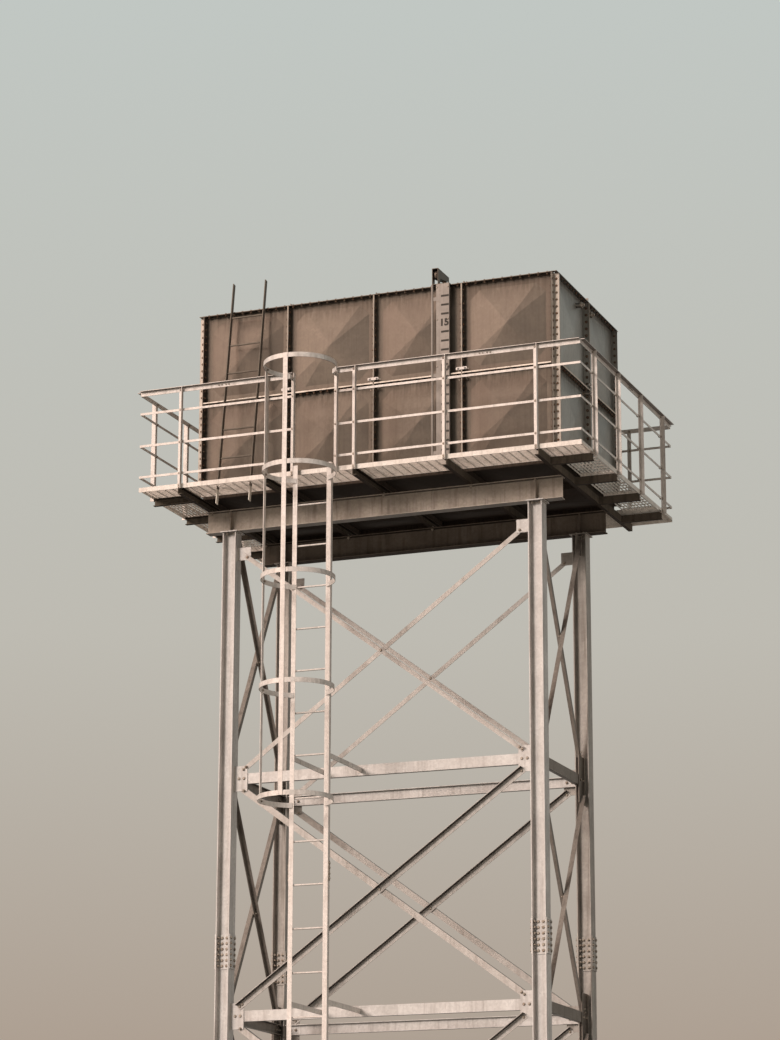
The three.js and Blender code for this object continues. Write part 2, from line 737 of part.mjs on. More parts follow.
add('tank_floor', tankFloor(), panelSteel);
add('tank_wall_front', wall(2 * tankX, panelsLong, 0, -tankY + plate, 0), panelSteel);
add('tank_wall_back', wall(2 * tankX, panelsLong, 0, tankY - plate, Math.PI), panelSteel);
const sideWallLength = 2 * (tankY - plate - gap);
add('tank_wall_right', wall(sideWallLength, panelsDeep, tankX - plate, 0, Math.PI / 2,
  rightWallFittings()), panelSteel);
add('tank_wall_left', wall(sideWallLength, panelsDeep, -tankX + plate, 0, -Math.PI / 2), panelSteel);
add('tank_roof', roof(), panelSteel);
add('manhole_lid', manholeLid(), darkSteel);

const ladderSlots = [-1, 1].map((side) => tankLadderStile(side, gap));
add('walkway_front', longDeck(-1, ladderSlots), meshSteel);
add('walkway_back', longDeck(1), meshSteel);

const cornerX = walkwaySide + gap;
const sideRailEnd = walkwayFront - rail.thickness - gap;
const frontPosts = Array.from({ length: panelsLong + 1 }, (_, i) => -tankX + i * panel);
const openingLeft = ladderX - openingHalf;
const openingRight = ladderX + openingHalf;
add('handrail_front_left', handrail(-cornerX, openingLeft,
  [...frontPosts.filter((x) => x < openingLeft), openingLeft], 0), galvanised);
add('handrail_front_right', handrail(openingRight, cornerX,
  [openingRight, ...frontPosts.filter((x) => x > openingRight)], 0), galvanised);
add('handrail_back', handrail(-cornerX, cornerX, frontPosts, Math.PI), galvanised);
add('handrail_right', handrail(-sideRailEnd, sideRailEnd, sideArms, Math.PI / 2), galvanised);
add('handrail_left', handrail(-sideRailEnd, sideRailEnd, sideArms, -Math.PI / 2), galvanised);

add('access_ladder', accessLadder(), galvanised);
add('ladder_cage', ladderCage(), galvanised);
add('tank_ladder', tankSideLadder(), darkSteel);
add('gauge_board', gaugeBoard(), boardPaint);
add('gauge_hood', gaugePulleyHood(), darkSteel);

export default tower;
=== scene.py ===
import math
import random

import bmesh
import bpy
from mathutils import Matrix, Vector


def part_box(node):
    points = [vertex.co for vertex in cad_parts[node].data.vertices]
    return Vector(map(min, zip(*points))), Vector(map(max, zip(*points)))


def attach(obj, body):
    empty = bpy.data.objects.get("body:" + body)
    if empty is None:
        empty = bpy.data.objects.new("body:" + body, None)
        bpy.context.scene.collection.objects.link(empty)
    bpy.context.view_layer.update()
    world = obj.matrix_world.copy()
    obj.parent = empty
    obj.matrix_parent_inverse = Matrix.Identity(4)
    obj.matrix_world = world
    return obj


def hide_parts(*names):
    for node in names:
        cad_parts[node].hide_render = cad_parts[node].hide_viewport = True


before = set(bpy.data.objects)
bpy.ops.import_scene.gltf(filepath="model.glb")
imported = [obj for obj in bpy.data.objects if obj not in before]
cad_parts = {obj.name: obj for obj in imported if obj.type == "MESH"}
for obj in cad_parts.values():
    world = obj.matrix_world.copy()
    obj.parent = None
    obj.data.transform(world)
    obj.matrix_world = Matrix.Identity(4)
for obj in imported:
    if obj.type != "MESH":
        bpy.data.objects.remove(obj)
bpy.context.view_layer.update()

scene = bpy.context.scene
dice = random.Random(7)    # small unevenness of bolts, welds and beads, the same each run
print("frame loaded:", len(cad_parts), "nodes")

midY = (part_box("tank_roof")[0].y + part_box("tank_roof")[1].y) / 2    # middle of the tank
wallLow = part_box("tank_wall_front")[0].z
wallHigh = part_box("tank_wall_front")[1].z
wallMiddle = (wallLow + wallHigh) / 2
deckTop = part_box("walkway_front")[1].z
up = Vector((0, 0, 1))

# Camera where the photograph was taken, a few metres off to the right
cameraSetup = {
    "place": (11.72339, -29.59487, 1.41788),
    "turn": 0.379624,
    "tilt": 0.269969,
    "roll": 0.0031506,
    "lens": 106.833,    # millimetres, as is the sensor
    "sensor": 36,
    "reach": 500,
}
camera = bpy.data.objects.new("camera", bpy.data.cameras.new("camera"))
scene.collection.objects.link(camera)
camera.data.sensor_width = cameraSetup["sensor"]
camera.data.lens = cameraSetup["lens"]
camera.data.clip_end = cameraSetup["reach"]
camera.matrix_world = (
    Matrix.Translation(cameraSetup["place"])
    @ Matrix.Rotation(cameraSetup["turn"], 4, "Z")
    @ Matrix.Rotation(math.pi / 2 + cameraSetup["tilt"], 4, "X")
    @ Matrix.Rotation(cameraSetup["roll"], 4, "Z")
)
scene.camera = camera


def linearColour(code):
    parts = [int(code[i:i + 2], 16) / 255 for i in (1, 3, 5)]
    return [p / 12.92 if p <= 0.04045 else ((p + 0.055) / 1.055) ** 2.4 for p in parts] + [1.0]


def addNode(tree, kind, inputs=None, **settings):
    node = tree.nodes.new("ShaderNode" + kind)
    for name, value in settings.items():
        setattr(node, name, value)
    for key, value in (inputs or {}).items():
        if isinstance(value, bpy.types.NodeSocket):
            tree.links.new(value, node.inputs[key])
        else:
            node.inputs[key].default_value = value
    return node


# A hazy low sun a little left of the front, a wide pink glow further left, a weak cool fill
# from behind on the right, and a plain sky
lightSetup = {
    "sky": [(0.09, "#ac9d8f"), (0.23, "#bebbb2"), (0.42, "#c1c7c3")],    # height, colour
    "skyStrength": 1.0,
    "skyLight": 0.36,    # the sky lights the steel less than it shows behind it
    "sun": {"colour": "#fff2ea", "strength": 3.6, "softness": 14.0, "glossy": False,
            "towards": (0.336, 0.924, -0.25)},
    "glow": {"colour": "#ffdecd", "strength": 1.25, "softness": 46.0, "glossy": True,
             "towards": (0.579, 0.644, -0.5)},
    "fill": {"colour": "#e6ecea", "strength": 0.30, "softness": 70.0, "glossy": True,
             "towards": (-0.80, -0.45, -0.4)},
}


def plainSky():
    world = bpy.data.worlds.new("plain sky")
    scene.world = world
    world.use_nodes = True
    tree = world.node_tree
    place = addNode(tree, "TexCoord").outputs["Generated"]
    height = addNode(tree, "SeparateXYZ", {0: place}).outputs["Z"]
    steps = lightSetup["sky"]
    colour = linearColour(steps[0][1])
    for (low, _), (high, shade) in zip(steps, steps[1:]):
        blend = addNode(tree, "MapRange", {"Value": height, "From Min": low, "From Max": high})
        colour = addNode(tree, "Mix", {0: blend.outputs[0], 6: colour, 7: linearColour(shade)},
                         data_type="RGBA").outputs[2]
    seen = addNode(tree, "MapRange", {
        "Value": addNode(tree, "LightPath").outputs["Is Camera Ray"],
        "To Min": lightSetup["skyLight"], "To Max": lightSetup["skyStrength"]})
    background = tree.nodes["Background"]
    tree.links.new(colour, background.inputs["Color"])
    tree.links.new(seen.outputs[0], background.inputs["Strength"])


def softLight(name):
    lamp = lightSetup[name]
    light = bpy.data.objects.new(name, bpy.data.lights.new(name, "SUN"))
    scene.collection.objects.link(light)
    light.data.color = linearColour(lamp["colour"])[:3]
    light.data.energy = lamp["strength"]
    light.data.angle = math.radians(lamp["softness"])
    light.visible_glossy = lamp["glossy"]     # haze hides the sun's own disc
    light.rotation_euler = Vector(lamp["towards"]).to_track_quat("-Z", "Y").to_euler()


floorSetup = {"radius": 140, "sides": 64, "tones": ("#e7e5df", "#eeece7"), "roughness": 0.9,
              "cloud": 2500}    # cloud in millimetres


def newMaterial(name):
    material = bpy.data.materials.new(name)
    material.use_nodes = True
    material.node_tree.nodes.clear()
    return material, material.node_tree


# Pale concrete, floated: matt, with a faint cloudiness
def plainFloor():
    f = floorSetup
    material, tree = newMaterial("floated pale concrete, floor")
    where = addNode(tree, "TexCoord").outputs["Object"]
    cloud = addNode(tree, "TexNoise", {"Vector": where, "Scale": 1000 / f["cloud"],
                                       "Detail": 5.0})
    dark, pale = [linearColour(tone) for tone in f["tones"]]
    colour = addNode(tree, "Mix", {0: cloud.outputs["Fac"], 6: dark, 7: pale},
                     data_type="RGBA").outputs[2]
    shader = addNode(tree, "BsdfPrincipled", {"Base Color": colour, "Roughness": f["roughness"]})
    addNode(tree, "OutputMaterial", {"Surface": shader.outputs[0]})
    turns = [2 * math.pi * i / f["sides"] for i in range(f["sides"])]
    mesh = bpy.data.meshes.new("floor")
    mesh.from_pydata([(f["radius"] * math.cos(t), f["radius"] * math.sin(t), 0) for t in turns],
                     [], [list(range(f["sides"]))])
    mesh.materials.append(material)
    floor = bpy.data.objects.new("floor", mesh)
    scene.collection.objects.link(floor)


plainSky()
for name in ("sun", "glow", "fill"):
    softLight(name)
scene.view_settings.view_transform = "Standard"
plainFloor()
print("camera, light and floor")


# Values of each pattern where its mark starts and where it is full
markRange = {"pale": (0.35, 0.68), "soil": (0.5, 0.74), "broken": (0.3, 0.62),
             # For the undersides: heights of the normal where the painted shade starts and where
             # it is full
             "under": (-0.35, -0.75), "worn": (0.15, 0.4), "whole": (0.0, 1.0)}


# Each pressed panel came from its own sheet, so its tone is a little its own, and dirt gathers
# under and beside its flanges. Along each axis a panel goes from 0 to 1, joint to joint: dirt
# gives a middle, how far from it the dirt starts and is full, and how deep it is.
def panelMarks(tree, where, runs, soiled, dirt):
    panel = addNode(tree, "VectorMath", {0: where, 1: (0, -midY, -wallLow)}, operation="ADD")
    cell = addNode(tree, "VectorMath", {0: panel.outputs[0]}, operation="FLOOR")
    tone = addNode(tree, "TexWhiteNoise", {"Vector": cell.outputs[0]}).outputs["Value"]
    inside = addNode(tree, "VectorMath", {0: panel.outputs[0]}, operation="FRACTION")
    axes = addNode(tree, "SeparateXYZ", {0: inside.outputs[0]})
    start, full = markRange["broken"]
    broken = addNode(tree, "MapRange", {"Value": runs, "From Min": start, "From Max": full})
    for axis, (middle, start, full, depth) in dirt.items():
        away = addNode(tree, "Math", {0: axes.outputs[axis], 1: middle}, operation="SUBTRACT")
        away = addNode(tree, "Math", {0: away.outputs[0]}, operation="ABSOLUTE")
        reach = addNode(tree, "MapRange", {"Value": away.outputs[0], "From Min": start,
                                           "From Max": full, "To Max": depth})
        patch = addNode(tree, "Math", {0: reach.outputs[0], 1: broken.outputs[0]},
                        operation="MULTIPLY")
        soiled = addNode(tree, "Math", {0: soiled, 1: patch.outputs[0]}, operation="MAXIMUM",
                         use_clamp=True).outputs[0]
    return tone, soiled


# Weathered steel. Sizes are in millimetres: cloud is the broad mottling, spangle the zinc
# crystals, run the width and length of the rain marks, pit the fine roughness, ripple the
# width and height of the waves in the sheet. Undersides get painted shade: a dark colour
# where the surface faces down.
def weatheredSteel(name, look):
    material, tree = newMaterial(name)
    texture = addNode(tree, "TexCoord")
    where = texture.outputs["Object"]
    cloud = addNode(tree, "TexNoise", {"Vector": where, "Scale": 1000 / look["cloud"],
                                       "Detail": 5.0, "Roughness": 0.62}).outputs["Fac"]
    spangle = addNode(tree, "TexVoronoi", {"Vector": where, "Scale": 1000 / look["spangle"]})
    crystals = addNode(tree, "SeparateColor", {"Color": spangle.outputs["Color"]}).outputs[0]
    pit = addNode(tree, "TexNoise", {"Vector": where, "Scale": 1000 / look["pit"],
                                     "Detail": 3.0, "Roughness": 0.7}).outputs["Fac"]
    width, length = look["run"]
    stretched = addNode(tree, "Mapping", {"Vector": where, "Scale": (
        1000 / width, 1000 / width, 1000 / length)})
    runs = addNode(tree, "TexNoise", {"Vector": stretched.outputs[0], "Scale": 1.0,
                                      "Detail": 4.0, "Roughness": 0.6}).outputs["Fac"]
    start, full = markRange["soil"]
    soiled = addNode(tree, "MapRange", {"Value": runs, "From Min": start, "From Max": full,
                                        "To Max": look["runDepth"]}).outputs[0]
    blotch = addNode(tree, "TexNoise", {"Vector": where, "Scale": 1000 / look["rustSize"],
                                        "Detail": 6.0, "Roughness": 0.72, "Distortion": 0.6})
    slope = addNode(tree, "SeparateXYZ", {0: texture.outputs["Normal"]})

    # Each layer covers the ones before it where its pattern is strong: its colour, its pattern,
    # where that starts and is full, and how much it covers
    whole = markRange["whole"]
    layers = [("pale", cloud, markRange["pale"], 1.0),
              ("dull", crystals, whole, look["spangleDepth"])]
    if "dirt" in look:
        tone, soiled = panelMarks(tree, where, runs, soiled, look["dirt"])
        layers.append(("tone", tone, whole, look["toneDepth"]))
    layers += [("soil", soiled, whole, 1.0),
               ("rust", blotch.outputs["Fac"], look["rustFrom"], look["rustDepth"]),
               # Painted shade: a dark colour where the surface faces down
               ("under", slope.outputs["Z"], markRange["under"], look["underDepth"])]
    if "paintEnds" in look:    # bare zinc below the painted part
        height = addNode(tree, "SeparateXYZ", {0: where}).outputs["Z"]
        layers.append(("bare", height, look["paintEnds"], 1.0))
    colour = linearColour(look["base"])
    for shade, pattern, (start, full), depth in layers:
        share = addNode(tree, "MapRange", {"Value": pattern, "From Min": start,
                                           "From Max": full, "To Max": depth})
        colour = addNode(tree, "Mix", {0: share.outputs[0], 6: colour,
                                       7: linearColour(look[shade])},
                         data_type="RGBA").outputs[2]

    smooth, rough = look["roughness"]
    wear = addNode(tree, "Math", {0: cloud, 1: pit}, operation="MULTIPLY")
    start, full = markRange["worn"]
    roughness = addNode(tree, "MapRange", {"Value": wear.outputs[0], "From Min": start,
                                           "From Max": full, "To Min": smooth, "To Max": rough})
    bump = addNode(tree, "Bump", {"Height": pit, "Strength": look["bump"],
                                  "Distance": look["pitHeight"] / 1000})
    width, height = look["ripple"]
    waves = addNode(tree, "TexNoise", {"Vector": where, "Scale": 1000 / width, "Detail": 1.0})
    bump = addNode(tree, "Bump", {"Height": waves.outputs["Fac"], "Strength": 1.0,
                                  "Distance": height / 1000, "Normal": bump.outputs[0]})
    shader = addNode(tree, "BsdfPrincipled", {
        "Base Color": colour, "Roughness": roughness.outputs[0], "Normal": bump.outputs[0],
        "Metallic": look["metallic"], "Specular IOR Level": look["specular"]})
    addNode(tree, "OutputMaterial", {"Surface": shader.outputs[0]})
    return material


# A finish like another one, with tones of its own: base, pale, dull and soil, as many as change
def finishLike(parent, tones, **changes):
    return {**parent, **dict(zip(("base", "pale", "dull", "soil"), tones.split())), **changes}


# Hot-dip galvanised steel, left to weather: pale, matt, with faint zinc crystals, and so much
# patina that little of the metal's gleam is left. Crystals of 22 mm and pits of 5 mm are drawn
# coarser than the real ones of about 8 and 1 mm, or they wouldn't show.
galvanised = {
    "base": "#c6c2be", "pale": "#d8d5d1", "dull": "#a8a4a0", "soil": "#6d6258", "rust": "#6f4a30",
    "cloud": 260, "spangle": 22, "spangleDepth": 0.35, "pit": 5, "pitHeight": 1,
    "run": (50, 600), "runDepth": 0.36, "rustSize": 55, "rustFrom": (0.66, 0.74), "rustDepth": 0.6,
    "roughness": (0.38, 0.62), "bump": 0.35, "metallic": 0.35, "ripple": (200, 0.3),
    # Painted shade on downward faces: its colour and how much of it there is
    "under": "#211a15", "underDepth": 0.85, "specular": 0.5,
}
# Steel under the deck, coated with dry dust: quite matt and without gleam; the near-black
# tones of the finishes that use it are painted shade
sheltered = {"metallic": 0.0, "specular": 0.12, "roughness": (0.75, 0.95)}
# Zinc-coated pressed panels: duller and browner, dust in the pressings, dirt under the flanges,
# a dull metal gleam that makes each slope of a pressing its own tone
pressed = finishLike(
    galvanised, "#776e64 #877d71 #696158 #484038", rust="#6a4833", cloud=420, spangle=26,
    spangleDepth=0.3, run=(26, 700), runDepth=0.22, rustFrom=(0.68, 0.76), rustSize=60,
    roughness=(0.34, 0.5), metallic=0.62, ripple=(260, 1.5))
panels = {**pressed, "tone": "#685b52", "toneDepth": 0.35}
# Dirt as panelMarks takes it: middle of the panel's axis, start, full, depth
underFlange = (0.0, 0.72, 1.0, 0.75)
besideFlange = (0.5, 0.40, 0.5, 0.55)
onFlatSheet = {"X": (0.5, 0.40, 0.5, 0.5), "Y": (0.5, 0.40, 0.5, 0.5)}
# Small forged or rolled parts: the same patterns, at a size that fits them
smallSteel = {**galvanised, "cloud": 60, "spangle": 8, "pit": 2, "run": (10, 80)}
# Jointing mastic, squeezed out and set: chalky, no metal gleam, faint grain
masticFinish = finishLike(galvanised, "", cloud=90, spangle=12, spangleDepth=0.15, pit=3,
                          metallic=0.0, roughness=(0.6, 0.8))

finishes = {
    # Rolled sections with the zinc as it came: the palest steel of the tower, softly mottled
    "galvanised steel, legs and rings": galvanised,
    # Slim bracing has thinner zinc, so it is a little duller than the legs, and its undersides
    # take the painted shade almost in full
    "galvanised steel, bracing": finishLike(galvanised, "#b5afa9 #c6c1bb #9b958f",
                                            underDepth=0.97),
    # Paler zinc than the panels beside it, so the corners show as a pale edge: this is a painted
    # highlight for the edge that catches the low sun
    "galvanised steel, corner angles with painted highlight": finishLike(galvanised, "#bdb2a6 #cdc4b9 #a0968b #75695d"),
    # The back legs are a darker copy of the leg zinc, which is painted shade for the legs that
    # stand behind, with more dirt in longer runs
    "galvanised steel, back legs in painted shade": finishLike(galvanised, "#a29c95 #b6b0a9 #857f79 #564c43",
                                              run=(40, 700), runDepth=0.5),
    # The side frames face away from the light: their grey-brown is painted shade, darker than
    # the zinc of the legs, with deeper dirt runs and underside shade
    "galvanised steel, side bracing in painted shade": finishLike(galvanised, "#7f776f #918981 #6a635c #433a32",
                                                 runDepth=0.5, underDepth=0.95),
    # The front beam is washed by rain. The back beam is dusty and matt, and its near-black tone
    # is painted shade from the deck above
    "galvanised steel, front beam": finishLike(galvanised, "#a99e92 #bbb0a4 #8b8176 #5b5046",
                                               runDepth=0.6, underDepth=0.9),
    "galvanised steel, back beam": finishLike(galvanised, "#60574e #71675d #504840 #352e27",
                                              runDepth=0.6, underDepth=0.95, **sheltered),
    # Channels under the deck, dull with dust: their near-black is painted shade
    "galvanised steel, joists in painted shade": finishLike(galvanised, "#4f483f #5f574d #433c35 #2c2620",
                                           runDepth=0.7, underDepth=0.95, **sheltered),
    # Brown-grey zinc that glows on the slopes towards the light and darkens on the others
    "zinc-coated pressed steel, long walls": {
        **panels, "dirt": {"Z": underFlange, "X": besideFlange}},
    # The ends get the cool light only. Their paler, cooler grey than the long walls is painted
    # light that lifts the shaded ends
    "zinc-coated pressed steel, short walls with painted light": finishLike(
        panels, "#b4b2ac #c2c0ba #9f9d98 #6c6963", dirt={"Z": underFlange, "Y": besideFlange}),
    # The tank's floor, seen from below: a near-black brown with no gleam, which is painted shade
    "zinc-coated pressed steel, floor in painted shade": finishLike(
        panels, "#2f2822 #3b332c #28221d #1d1814", dirt=onFlatSheet, underDepth=0.9, **sheltered),
    # Flat roof sheets, rinsed by every shower: paler and greyer than the walls
    "zinc-coated sheet steel, roof": finishLike(panels, "#a39b91 #b6aea4 #8f877e",
                                                dirt=onFlatSheet, metallic=0.45),
    # Thin bars with fresh zinc: bright edges on top, dark between, and painted shade on their
    # undersides
    "galvanised steel, gratings": finishLike(galvanised, "#d9d1c8 #e9e2da #b9b1a8", spangle=14,
                                             pit=3, underDepth=0.68),
    # Tubes and flats that hands and rain keep clean: pale and warm in the low sun
    "galvanised steel, handrails": finishLike(galvanised, "#d8d0c9 #e8e1db #b9b2ab", cloud=180),
    # The ladder is the same clean zinc, a touch darker from boots
    "galvanised steel, ladder": finishLike(galvanised, "#d5cdc6 #e6dfd9 #b3aca5", cloud=180),
    # Bitumen-painted steel gone chalky: dark grey-brown, matt, brown where it has worn through
    "bitumen-painted steel, tank ladder": finishLike(
        galvanised, "#62594f #756b60 #50483f #3a332c", rust="#6a4630", rustFrom=(0.58, 0.7),
        metallic=0.0, roughness=(0.5, 0.75), paintEnds=(10.47, 10.46), bare="#cfc6ba"),
    # Alkyd enamel on the board: off-white, chalky, with brown runs
    "alkyd enamel, gauge board": finishLike(
        galvanised, "#857d76 #958c84 #7a726b #5c5249", run=(12, 500), runDepth=0.55,
        metallic=0.0, roughness=(0.42, 0.6), bump=0.15),
    # Folded sheet over the top of the gauge: dull brown zinc, darker than the board below it
    "zinc-coated sheet steel, hood": finishLike(pressed, "#6f665b #83796d #5d554c", cloud=120),
    # Zinc-plated bolts: a little brighter than the steel when clean, brown where rain sits
    "zinc-plated bolts": finishLike(smallSteel, "#a79c8f #c9bfb2 #7d746a", rustSize=40,
                                    rustFrom=(0.52, 0.66), rustDepth=0.8, metallic=0.5),
    # Bolts in the wet joints have lost their zinc: dark red-brown dots along each joint
    "rusted bolts, tank": finishLike(
        smallSteel, "#5a4c40 #7a6a5a #463a31 #38302a", rust="#5e3d28", rustSize=45,
        rustFrom=(0.45, 0.62), rustDepth=0.9, metallic=0.2, roughness=(0.55, 0.8),
        underDepth=0.5),
    # Galvanised flat bar, little weathered: bright against the dull panels
    "galvanised flat bar, stay straps": finishLike(galvanised, "#d8d0c9 #e8e1db #b9b2ab",
                                                   cloud=60, spangle=10, rustFrom=(0.6, 0.7)),
    # The level joints' mastic is pale: a thin bright line along the flange tips
    "weathered mastic, panel joints": finishLike(masticFinish, "#cdbfb1 #e0d3c6 #b5a798 #7d6f62",
                                                 run=(20, 60), runDepth=0.5),
    # The same mastic on the upright joints, browner and duller: painted shade that tones down the
    # flange fronts where the low sun catches them, with rain runs down it
    "mastic in painted shade, upright joints": finishLike(
        masticFinish, "#8f8479 #a3988c #7b7065 #574b41", run=(20, 400), runDepth=0.6),
    # Weld runs: the zinc lies thick and even on them, so they are a little brighter
    "galvanised weld runs": finishLike(galvanised, "#bdb4a8 #d2c9bd", spangle=6, cloud=40, pit=2),
    # Black enamel marks: soft black with some grey chalk
    "black enamel, gauge marks": finishLike(
        galvanised, "#2b2824 #37332e #262320 #4a4139", metallic=0.0, roughness=(0.45, 0.6),
        rustDepth=0.2),
}
materials = {name: weatheredSteel(name, look) for name, look in finishes.items()}

nodeFinish = {    # the first start that fits a node's name gives its finish
    "leg_back": "galvanised steel, back legs in painted shade", "leg": "galvanised steel, legs and rings",
    "ring": "galvanised steel, legs and rings",
    "brace": "galvanised steel, bracing", "side_bracing": "galvanised steel, side bracing in painted shade",
    "main_beam_front": "galvanised steel, front beam",
    "main_beam_back": "galvanised steel, back beam", "joist": "galvanised steel, joists in painted shade",
    "tank_floor": "zinc-coated pressed steel, floor in painted shade",
    "tank_wall_front": "zinc-coated pressed steel, long walls",
    "tank_wall_back": "zinc-coated pressed steel, long walls",
    "tank_wall": "zinc-coated pressed steel, short walls with painted light",
    "tank_roof": "zinc-coated sheet steel, roof", "manhole": "zinc-coated sheet steel, roof",
    "walkway": "galvanised steel, gratings", "handrail": "galvanised steel, handrails",
    "access_ladder": "galvanised steel, ladder", "ladder_cage": "galvanised steel, ladder",
    "tank_ladder": "bitumen-painted steel, tank ladder",
    "gauge_board": "alkyd enamel, gauge board", "gauge_hood": "zinc-coated sheet steel, hood",
}
for nodeName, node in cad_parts.items():
    finish = next(f for start, f in nodeFinish.items() if nodeName.startswith(start))
    for materialSlot in node.material_slots:
        materialSlot.material = materials[finish]
print("materials:", len(materials))


# Small forms that the pieces are made of, each a list of points and a list of faces. This one
# skins rings of points that follow each other along a form, and closes both ends.
def skinForm(points, sides):
    last = len(points) - sides
    faces = [tuple(reversed(range(sides))), tuple(range(last, len(points)))]
    for a in range(0, last, sides):
        b = a + sides
        faces += [(a + j, a + (j + 1) % sides, b + (j + 1) % sides, b + j) for j in range(sides)]
    return points, faces


def boxForm(low, high):
    ends = (low, high)
    return skinForm([Vector((ends[i][0], ends[j][1], end[2])) for end in ends
                     for i, j in ((0, 0), (1, 0), (1, 1), (0, 1))], 4)


# Turned form round z: profile lists radius and height, from the bottom up
def turnedForm(profile, sides):
    turns = [2 * math.pi * i / sides for i in range(sides)]
    return skinForm([Vector((radius * math.cos(t), radius * math.sin(t), height))
                     for radius, height in profile for t in turns], sides)


# Flat plate cut to an outline, standing on the plane of two directions
def plateForm(outline, corner, across, upward, thickness):
    corner, across, upward = Vector(corner), Vector(across), Vector(upward)
    through = across.cross(upward).normalized() * thickness
    flat = [corner + across * a + upward * b for a, b in outline]
    return skinForm(flat + [point + through for point in flat], len(flat))


# Bar or tube of round section swept along a line of points
def roundBar(route, radius, sides=10):
    route = [Vector(point) for point in route]
    side = (route[1] - route[0]).cross(Vector((0.3, 0.5, 0.8)))    # any way but along the bar
    points = []
    for before, point, after in zip([route[0]] + route, route, route[1:] + [route[-1]]):
        along = (after - before).normalized()
        side = (side - along * side.dot(along)).normalized()
        other = along.cross(side)
        points += [point + (side * math.cos(2 * math.pi * j / sides)
                            + other * math.sin(2 * math.pi * j / sides)) * radius
                   for j in range(sides)]
    return skinForm(points, sides)


def rectangle(half, low, high):
    return [(-half, low), (half, low), (half, high), (-half, high)]


def trimmedRectangle(halfAcross, halfUp, trim):    # its corners are taken off
    a, b = halfAcross - trim, halfUp - trim
    return [(-a, -halfUp), (a, -halfUp), (halfAcross, -b), (halfAcross, b),
            (a, halfUp), (-a, halfUp), (-halfAcross, b), (-halfAcross, -b)]


def joinForms(*forms):
    points, faces = [], []
    for morePoints, moreFaces in forms:
        start = len(points)
        points += morePoints
        faces += [tuple(i + start for i in face) for face in moreFaces]
    return points, faces


# Matrix that puts a form's z axis along a direction at a place
def facing(place, along, turn=0.0):
    return (Matrix.Translation(place)
            @ Vector(along).normalized().to_track_quat("Z", "Y").to_matrix().to_4x4()
            @ Matrix.Rotation(turn, 4, "Z"))


def placed(form, matrix):
    return [matrix @ point for point in form[0]], form[1]


boltSizes = {    # metres: half across corners, head, nut, washer and its sheet, thread, spare
    "m8": (0.0075, 0.0053, 0.007, 0.0085, 0.0016, 0.004, 0.004),
    "m12": (0.0110, 0.0075, 0.0105, 0.013, 0.0025, 0.006, 0.006),
    "m16": (0.0139, 0.010, 0.014, 0.0165, 0.003, 0.008, 0.007),
    "m24": (0.0208, 0.015, 0.020, 0.024, 0.004, 0.012, 0.030),
}
# Shares of those sizes: where the hexagon starts in the washer, its chamfer, the thread's end
boltShape = {"sunk": 0.8, "chamfer": 0.12, "crown": 0.86, "shank": 0.8, "point": 0.75}


# Head and nut on their washers, with the top edges of the hexagons taken off
def boltEnds(corner, head, nut, washer, sheet, thread, spare):
    b = boltShape
    plate = turnedForm([(washer, 0), (washer, sheet)], 12)
    ends = {}
    for kind, height in (("head", head), ("nut", nut)):
        top = sheet + height
        hexagon = turnedForm([(corner, sheet * b["sunk"]), (corner, top - corner * b["chamfer"]),
                              (corner * b["crown"], top)], 6)
        ends[kind] = joinForms(plate, hexagon)
    stub = turnedForm([(thread, top - 0.001), (thread, top + spare * b["shank"]),
                       (thread * b["point"], top + spare)], 8)
    ends["nut"] = joinForms(ends["nut"], stub)
    return ends


boltForms = {size: boltEnds(*measures) for size, measures in boltSizes.items()}


def boltTurn():    # no two bolts stop at the same angle
    return dice.uniform(0, math.pi / 3)


# Bolt through two faces: the head on the side that along points to, the nut on the other
def boltThrough(place, along, grip, size):
    place, along, turn = Vector(place), Vector(along).normalized(), boltTurn()
    return [placed(boltForms[size][kind],
                   facing(place + along * way * grip / 2, along * way, turn))
            for kind, way in (("head", 1), ("nut", -1))]


def boltEnd(place, along, size, kind="nut"):    # only the end that shows
    return [placed(boltForms[size][kind], facing(place, along, boltTurn()))]


def boltRow(start, end, along, grip, count, size="m16", skip=None):
    forms = []
    for i in range(count):
        spot = start.lerp(end, (i + 0.5) / count)
        if not (skip and skip(spot)):
            forms += boltThrough(spot, along, grip, size)
    return forms


def squareWasher(place, along, size, thickness, trim=0.12):
    outline = trimmedRectangle(size / 2, size / 2, size * trim)
    return placed(plateForm(outline, (0, 0, 0), (1, 0, 0), (0, 1, 0), thickness),
                  facing(place, along))


# Fillet weld between two faces that meet in a line: a bead with an uneven top
weldSetup = {"step": 0.012, "least": 0.85, "most": 1.15, "sunk": 0.15, "crown": 0.62}


def weldBead(start, end, sideA, sideB, size):
    w = weldSetup
    sideA, sideB = Vector(sideA) * size, Vector(sideB) * size
    count = max(2, int((end - start).length / w["step"]))
    points = []
    for i in range(count + 1):
        spot = start.lerp(end, i / count)
        grow = dice.uniform(w["least"], w["most"])
        points += [spot - (sideA + sideB) * w["sunk"], spot + sideA * grow,
                   spot + (sideA + sideB) * w["crown"] * grow, spot + sideB * grow]
    return skinForm(points, 4)


def dressPiece(name, mesh, finish, replaces=()):
    mesh.materials.clear()
    mesh.materials.append(materials[finish])
    piece = bpy.data.objects.new(name, mesh)
    scene.collection.objects.link(piece)
    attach(piece, "root")
    if replaces:
        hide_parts(*replaces)


def makePiece(name, forms, finish, replaces=()):
    points, faces = joinForms(*forms)
    mesh = bpy.data.meshes.new(name)
    mesh.from_pydata([tuple(p) for p in points], [], faces)
    mesh.validate()
    bm = bmesh.new()
    bm.from_mesh(mesh)
    bmesh.ops.recalc_face_normals(bm, faces=bm.faces)
    bm.to_mesh(mesh)
    bm.free()
    dressPiece(name, mesh, finish, replaces)


def at(x, y, z):    # a place given from the middle of the tank
    return Vector((x, y + midY, z))


